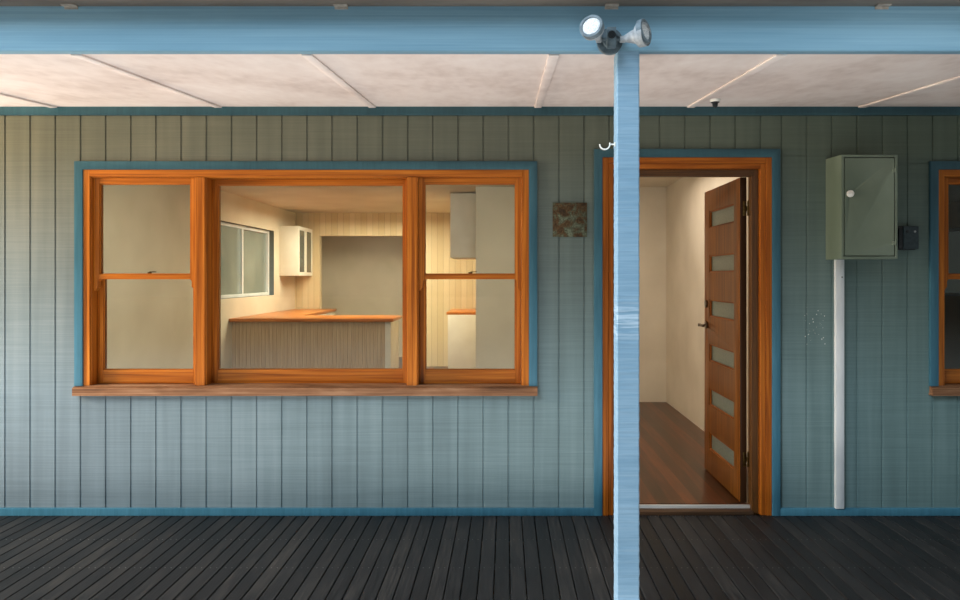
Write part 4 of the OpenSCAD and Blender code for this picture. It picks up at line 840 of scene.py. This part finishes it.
ceiling_paint = Finish("ceiling_paint", 0.75)
mould = ceiling_paint.grain((1.6, 1.6, 1.6), 6, 0.5)
fleck = ceiling_paint.grain((18, 9, 18), 4)
tone = ceiling_paint.blend((mould, 0.7), (fleck, 0.3))
ceiling_paint.toned(tone, (0.34, (204, 188, 180)), (0.5, (224, 211, 204)), (0.66, (234, 224, 218)))
ceiling_paint.relief(fleck, 0.0006)
eased("ceiling_strips", "painted", ceiling_paint, "ceiling", ease=0.0015)
finished(["verandah_ceiling"], ceiling_paint)


# A folded steel gutter hangs on straps along the top of the front beam, and a second one,
# with the downpipes, along the back eave. Both are painted, with grime down their faces.
gutter_paint = Finish("gutter_paint", 0.5).shaded(
    (1.5, 8, 8), 5, (0.3, (84, 74, 66)), (0.6, (112, 102, 92)), (0.8, (134, 122, 110)))
eased("gutters", "folded", gutter_paint, "gutter", ease=0.001)
strap_paint = Finish("strap_paint", 0.5).shaded(
    (30, 30, 30), 3, (0.3, (120, 112, 102)), (0.7, (164, 156, 146)))
eased("gutter_clips", "folded", strap_paint, "gutter_clip", ease=0.0006)


# The roof is ribbed steel sheet, screwed down through its ribs to the purlins, with a
# folded ridge cap over the line where its two slopes meet.
roof_steel = Finish("roof_steel", 0.42, 0.55)
spangle = roof_steel.grain((7, 1.2, 7), 4)
streaks = roof_steel.grain((14, 0.5, 14), 4)
tone = roof_steel.blend((spangle, 0.5), (streaks, 0.5))
roof_steel.toned(tone, (0.30, (142, 148, 148)), (0.55, (158, 163, 162)), (0.75, (170, 173, 170)))
roof_steel.give("Roughness", roof_steel.ramp(tone, (0.3, 0.36), (0.7, 0.56)))
finished(["roof_front", "roof_back", "ridge_cap"], roof_steel)

roof_fall = math.tan(math.radians(5))
front_low, front_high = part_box("roof_front")
rear_low, rear_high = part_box("roof_back")
first_rib, rib_pitch, rib_n, purlin, from_ridge = -4.6, 0.2, 47, 0.85, 0.28
for label, edge, way in (("front", front_high, -1), ("back", Vector((0, rear_low.y, rear_high.z)), 1)):
    run = (front_high.y - front_low.y) if way < 0 else (rear_high.y - rear_low.y)
    lines_n = int((run - from_ridge - 0.06) / purlin) + 1
    screws = Maker("roof_screws_" + label, Ribs=rib_n, Purlins=lines_n, Radius=0.0065)
    start = (first_rib, edge.y + way * from_ridge, edge.z - from_ridge * roof_fall + 0.0025)
    placed = rows(screws, (screws.inputs["Ribs"], screws.inputs["Purlins"]),
                  ((rib_pitch, 0, 0), (0, way * purlin, -purlin * roof_fall)), start,
                  screw_head(screws, 6, 0.006))
    screws.place(placed, screw_metal, "roof_metal", "house")


# Small fittings on the front: the twin floodlight, a hook, a round detector, the meter
# box with its conduit, a key safe and a weathered metal plaque.
mount_grey = Finish("mount_grey", 0.45).shaded((40, 40, 40), 4, (0.3, (62, 76, 84)), (0.65, (98, 112, 118)))
eased("floodlight_mount", "cast", mount_grey, "satin_metal", ease=0.003, steps=3)
lamp_grey = Finish("lamp_grey", 0.4).shaded((40, 40, 40), 4, (0.3, (128, 134, 138)), (0.65, (170, 174, 176)))
eased("left_lamp", "head", lamp_grey, "satin_metal", "lamp_left", 0.001)
eased("right_lamp", "head", lamp_grey, "satin_metal", "lamp_right", 0.001)
rim_grey = Finish("rim_grey", 0.45).shaded((60, 60, 60), 3, (0.3, (88, 102, 110)), (0.7, (122, 136, 144)))
lens_glass = Finish("lens_glass", 0.16).shaded(
    (260, 260, 260), 1, (0.35, (186, 192, 196)), (0.65, (244, 246, 246)))
lens_glass.relief(lens_glass.pattern, 0.0016)


def turned(name, points, matrix, made, body, slot="satin_metal"):
    """A round piece: points (radius, height) turned about the axis that matrix gives."""
    bm = bmesh.new()
    n = 48
    rings = []
    for radius, height in points:
        if radius == 0:
            rings.append([bm.verts.new(matrix @ Vector((0, 0, height)))] * n)
        else:
            rings.append([bm.verts.new(matrix @ Vector(
                (radius * math.cos(2 * math.pi * k / n), radius * math.sin(2 * math.pi * k / n), height)))
                for k in range(n)])
    for a, b in zip(rings, rings[1:]):
        for k in range(n):
            corners = list(dict.fromkeys((a[k], a[(k + 1) % n], b[(k + 1) % n], b[k])))
            if len(corners) > 2:
                bm.faces.new(corners)
    bmesh.ops.recalc_face_normals(bm, faces=bm.faces)
    into_scene(name, meshed(bm, name), made, slot, body)


lamp_x, lamp_z, lamp_tilt = -0.952, 2.531, math.radians(14)
lamp_apart, lamp_out = 0.046, 0.040
rim_profile = [(0.0345, 0.0890), (0.0450, 0.0790), (0.0456, 0.0800), (0.0456, 0.0996),
               (0.0444, 0.1012), (0.0362, 0.1012), (0.0345, 0.0996), (0.0345, 0.0890)]
lens_profile = [(0, 0.0940), (0.0348, 0.0940), (0.0348, 0.0965), (0.028, 0.0985),
                (0.016, 0.0998), (0, 0.1002)]
beam_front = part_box("verandah_beam")[0].y
lamp("lens_light", (0.5, beam_front - 0.9, 2.5), (lamp_x, beam_front - 0.1, lamp_z), (0.5, 0.5), 5)
for side, turn, label in ((-1, math.radians(-24), "left"), (1, math.radians(53), "right")):
    sideways, forward = math.sin(turn), math.cos(turn)
    points_at = Vector((sideways, -forward * math.cos(lamp_tilt), forward * math.sin(lamp_tilt)))
    place = points_at.to_track_quat("Z", "Y").to_matrix().to_4x4()
    place.translation = Vector((lamp_x + side * lamp_apart, beam_front - lamp_out, lamp_z))
    turned(label + "_lamp_rim", rim_profile, place, rim_grey, "lamp_" + label)
    turned(label + "_lamp_lens", lens_profile, place, lens_glass, "lamp_" + label)
black_plastic = Finish("black_plastic", 0.5).shaded(
    (80, 80, 80), 3, (0.3, (20, 24, 26)), (0.7, (36, 42, 46)))
facing_out = Vector((0, -1, 0)).to_track_quat("Z", "Y").to_matrix().to_4x4()
facing_out.translation = Vector((lamp_x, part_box("floodlight_mount")[0].y, lamp_z + 0.008))
turned("sensor_eye", [(0.0150, -0.002), (0.0150, 0.0030), (0.0120, 0.0040), (0.0100, 0.0010), (0, 0.0016)],
       facing_out, black_plastic, "house", "black_plastic")

eased("key_safe", "cast", black_plastic, "black_plastic", ease=0.003, steps=3)
slate_plastic = Finish("slate_plastic", 0.4).shaded(
    (70, 70, 70), 3, (0.3, (34, 46, 50)), (0.7, (52, 66, 70)))
key_low, key_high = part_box("key_safe")
cover = Timber("key_safe_cover", 60)
cover_front = key_low.y - 0.007
cover.length((key_low.x + 0.030, cover_front, key_low.z + 0.004),
             (key_high.x + 0.004, key_low.y + 0.002, key_high.z - 0.002), 2, 0.005)
cover.place(slate_plastic, "black_plastic", "house")
# Partly painted highlight: a real button, made light grey so that it stands for a glint at the top right of
# the key safe's cover.
for name, x, radius, made in (("key_safe_button", key_high.x - 0.020, 0.0065, lamp_grey),
                              ("key_safe_dial", key_low.x + 0.052, 0.0090, black_plastic)):
    facing_out.translation = Vector((x, cover_front, key_high.z - 0.034))
    turned(name, [(radius, -0.001), (radius, 0.002), (radius * 0.8, 0.003), (0, 0.003)], facing_out, made,
           "house", "black_plastic")

white_plastic = Finish("white_plastic", 0.4).shaded(
    (30, 30, 30), 3, (0.3, (206, 204, 194)), (0.6, (232, 230, 222)))
dome_plastic = Finish("dome_plastic", 0.3)
smoked = dome_plastic.ramp(dome_plastic.grain((80, 80, 80), 3), (0.3, (24, 26, 28)), (0.7, (44, 46, 48)))
ring_white = dome_plastic.ramp(
    dome_plastic.grain((30, 30, 30), 3), (0.3, (206, 204, 194)), (0.6, (232, 230, 222)))
dome_low, dome_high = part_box("ceiling_dome")
ring_z = dome_low.z * 0.7 + dome_high.z * 0.3
on_ring = dome_plastic.sums("GREATER_THAN", dome_plastic.axis("Z"), ring_z)
dome_plastic.colour(dome_plastic.mixed(on_ring, smoked, ring_white))
eased("ceiling_dome", "moulded", dome_plastic, "black_plastic", ease=0.001)
dome_mid = (dome_low + dome_high) / 2
hanging = Matrix.Translation((dome_mid.x, dome_mid.y, dome_low.z + 0.002))
turned("ceiling_dome_eye", [(0.015, 0.0), (0.015, -0.010), (0.012, -0.018), (0.007, -0.022), (0, -0.024)],
       hanging, black_plastic, "house", "black_plastic")
eased("cup_hook", "coated", white_plastic, "white_metal", ease=0.0005)
eased("meter_knob", "moulded", white_plastic, "black_plastic", "meter_latch", 0.0015)

meter_paint = Finish("meter_paint", 0.45).shaded(
    (4, 4, 2.4), 5, (0.32, (92, 104, 88)), (0.65, (112, 124, 108)))
meter_paint.relief(meter_paint.grain((140, 140, 140), 2), 0.0002)
eased("meter_box", "folded", meter_paint, "meter_grey", ease=0.0015)
eased("meter_box_door", "folded", meter_paint, "meter_grey", "meter_door", 0.001)

pipe_paint = Finish("pipe_paint", 0.5).shaded((8, 8, 3), 4, (0.3, (190, 196, 198)), (0.65, (216, 220, 220)))
eased("meter_conduit", "painted", pipe_paint, "conduit", ease=0.001)

screw_x, screw_z = 0.640, 1.612
facing_out.translation = Vector((screw_x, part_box("meter_conduit")[0].y, screw_z))
turned("cover_screw", [(0.0045, -0.001), (0.0045, 0.0012), (0.0030, 0.0020), (0, 0.0020)],
       facing_out, screw_metal, "house", "conduit")

spots_x, spots_z = 0.491, 1.315
spots = Maker("paint_spots", Wide=0.13, High=0.24, Density=900.0, Seed=7)
patch = spots.node("GeometryNodeMeshGrid", {"Size X": spots.inputs["Wide"], "Size Y": spots.inputs["High"]})
strewn = spots.node("GeometryNodeDistributePointsOnFaces", {
    "Mesh": patch.outputs[0], "Density": spots.inputs["Density"], "Seed": spots.inputs["Seed"]})
drop = spots.node("GeometryNodeMeshUVSphere", {"Segments": 8, "Rings": 5, "Radius": 0.0034})
size = spots.node("FunctionNodeRandomValue", {2: 0.3, 3: 1.0, "Seed": 3})
placed = spots.node("GeometryNodeInstanceOnPoints", {
    "Points": strewn.outputs[0], "Instance": drop.outputs[0], "Scale": size.outputs[1]})
flat = spots.node("GeometryNodeTransform", {"Geometry": placed.outputs[0], "Scale": (1, 1, 0.2)})
upright = spots.node("GeometryNodeTransform", {
    "Geometry": flat.outputs[0], "Rotation": (math.pi / 2, 0, 0),
    "Translation": (spots_x, face - 0.0004, spots_z)})
spots.place(upright.outputs[0], white_plastic, "cladding", "house")

rusty_metal = Finish("rusty_metal", 0.7, 0.35)
bloom = rusty_metal.grain((16, 16, 16), 6, 1.0)
speck = rusty_metal.grain((120, 120, 120), 4)
rust = rusty_metal.ramp(
    bloom, (0.34, (62, 50, 36)), (0.46, (96, 72, 42)), (0.56, (92, 96, 76)), (0.68, (124, 134, 112)))
dark = rusty_metal.ramp(speck, (0.4, (40, 32, 26)), (0.6, (220, 220, 220)))
rusty_metal.colour(rusty_metal.mixed(0.5, rust, dark, "MULTIPLY"))
rusty_metal.relief(bloom, 0.002)
eased("wall_plaque", "weathered", rusty_metal, "plaque", ease=0.001)


# Inside, partitions and ceilings are painted sheet; round the kitchen the walls are
# lined with narrow upright boards, nailed to the studs and painted cream.
finished(["room_ceiling", "entry_partition", "living_partition"], wall_lining)

lining_boards = Finish("lining_boards", 0.55)
across = lining_boards.sums("ADD", lining_boards.axis("X"), lining_boards.axis("Y"))
lining_board_w = 0.092
within, lot = lining_boards.by_board(across, lining_board_w, 0.618)
cream = lining_boards.ramp(lot, (0.0, (206, 184, 142)), (1.0, (218, 198, 158)))
vee = lining_boards.ramp(within, (0.0, 0.45), (0.04, 1.0), (0.96, 1.0), (1.0, 0.45))
lining_boards.colour(lining_boards.mixed(1.0, cream, vee, "MULTIPLY"))
lining_boards.relief(vee, 0.003)
finished(["kitchen_partition", "hall_partition"], lining_boards)


# The kitchen: a peninsula faced with narrow boards and closed by a thick end panel,
# painted cupboards, two of them glazed, and oiled timber tops screwed from below.
white_cabinet = Finish("white_cabinet", 0.4).shaded(
    (5, 5, 5), 3, (0.3, (222, 214, 196)), (0.7, (234, 228, 212)))
eased("kitchen_cabinets", "painted", white_cabinet, "kitchen_white", ease=0.002)

tops_low, tops_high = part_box("bench_tops")
left_wall = tops_low.x
peninsula_y, peninsula_x = tops_low.y + 0.100, left_wall + 1.956 - 0.046
board_face = Finish("board_face", 0.55).along_grain()
strands = board_face.grain((90, 90, 2.4), 4, 0.4)
board_face.toned(strands, (0.3, (176, 148, 114)), (0.7, (206, 180, 146)))
facing = Timber("peninsula_boards", 55)
strip, strip_gap, end_panel = 0.045, 0.0008, 0.066
cupboard_rail, cupboard_deep = 0.055, 0.650
on_floor, under_top, end_x = floor_top + 0.002, tops_low.z - 0.001, peninsula_x - end_panel
x = left_wall
while x < end_x - 0.004:
    facing.length((x + strip_gap, peninsula_y - 0.006, on_floor),
                  (min(x + strip - strip_gap, end_x), peninsula_y + 0.002, under_top), 2, 0.0018)
    x += strip
facing.place(board_face, "kitchen_white", "house")
joinery = Timber("cupboard_joinery", 56)
joinery.length((end_x, peninsula_y - 0.008, on_floor),
               (peninsula_x + 0.002, peninsula_y + cupboard_deep, under_top))
cupboard_x, cupboard_y0, cupboard_y1 = left_wall + 0.270, tops_high.y - 0.794, tops_high.y - 0.023
z0, z1 = floor_top + 1.414, floor_top + 2.139
panes = Timber("cupboard_panes", 57)
for i in range(2):
    a = cupboard_y0 + 0.003 + i * (cupboard_y1 - cupboard_y0) / 2
    b = a + (cupboard_y1 - cupboard_y0) / 2 - 0.006
    inner_a, inner_b = a + cupboard_rail, b - cupboard_rail
    for y0, y1, low, high in (
            (a, inner_a, z0, z1), (inner_b, b, z0, z1),
            (inner_a, inner_b, z0, z0 + cupboard_rail), (inner_a, inner_b, z1 - cupboard_rail, z1)):
        joinery.length((cupboard_x - 0.002, y0, low), (cupboard_x + 0.009, y1, high))
    lap = cupboard_rail - 0.001
    panes.length((cupboard_x - 0.001, a + lap, z0 + lap), (cupboard_x + 0.003, b - lap, z1 - lap))
front_x = left_wall + cupboard_deep - 0.020
door_w, door_pitch, kick = 0.44, 0.446, 0.105
y = peninsula_y + 0.66
while y < tops_high.y - 0.3:
    joinery.length((front_x - 0.002, y, floor_top + kick),
                   (front_x + 0.010, y + door_w, tops_low.z - 0.006))
    y += door_pitch
joinery.place(white_cabinet, "kitchen_white", "house")
# Painted shade: the glazed doors' panes are opaque and dark, standing for glass with the shadowed cupboard
# behind it.
dark_pane = Finish("dark_pane", 0.12).shaded((3, 3, 9), 3, (0.3, (70, 76, 68)), (0.7, (104, 108, 96)))
panes.place(dark_pane, "kitchen_white", "house")

timber_top = Finish("timber_top", 0.3)
stave = timber_top.grain((3, 40, 40), 5, 0.5)
timber_top.toned(stave, (0.3, (158, 84, 26)), (0.55, (198, 118, 46)), (0.75, (220, 148, 74)))
eased("bench_tops", "oiled", timber_top, "bench_timber", ease=0.003)
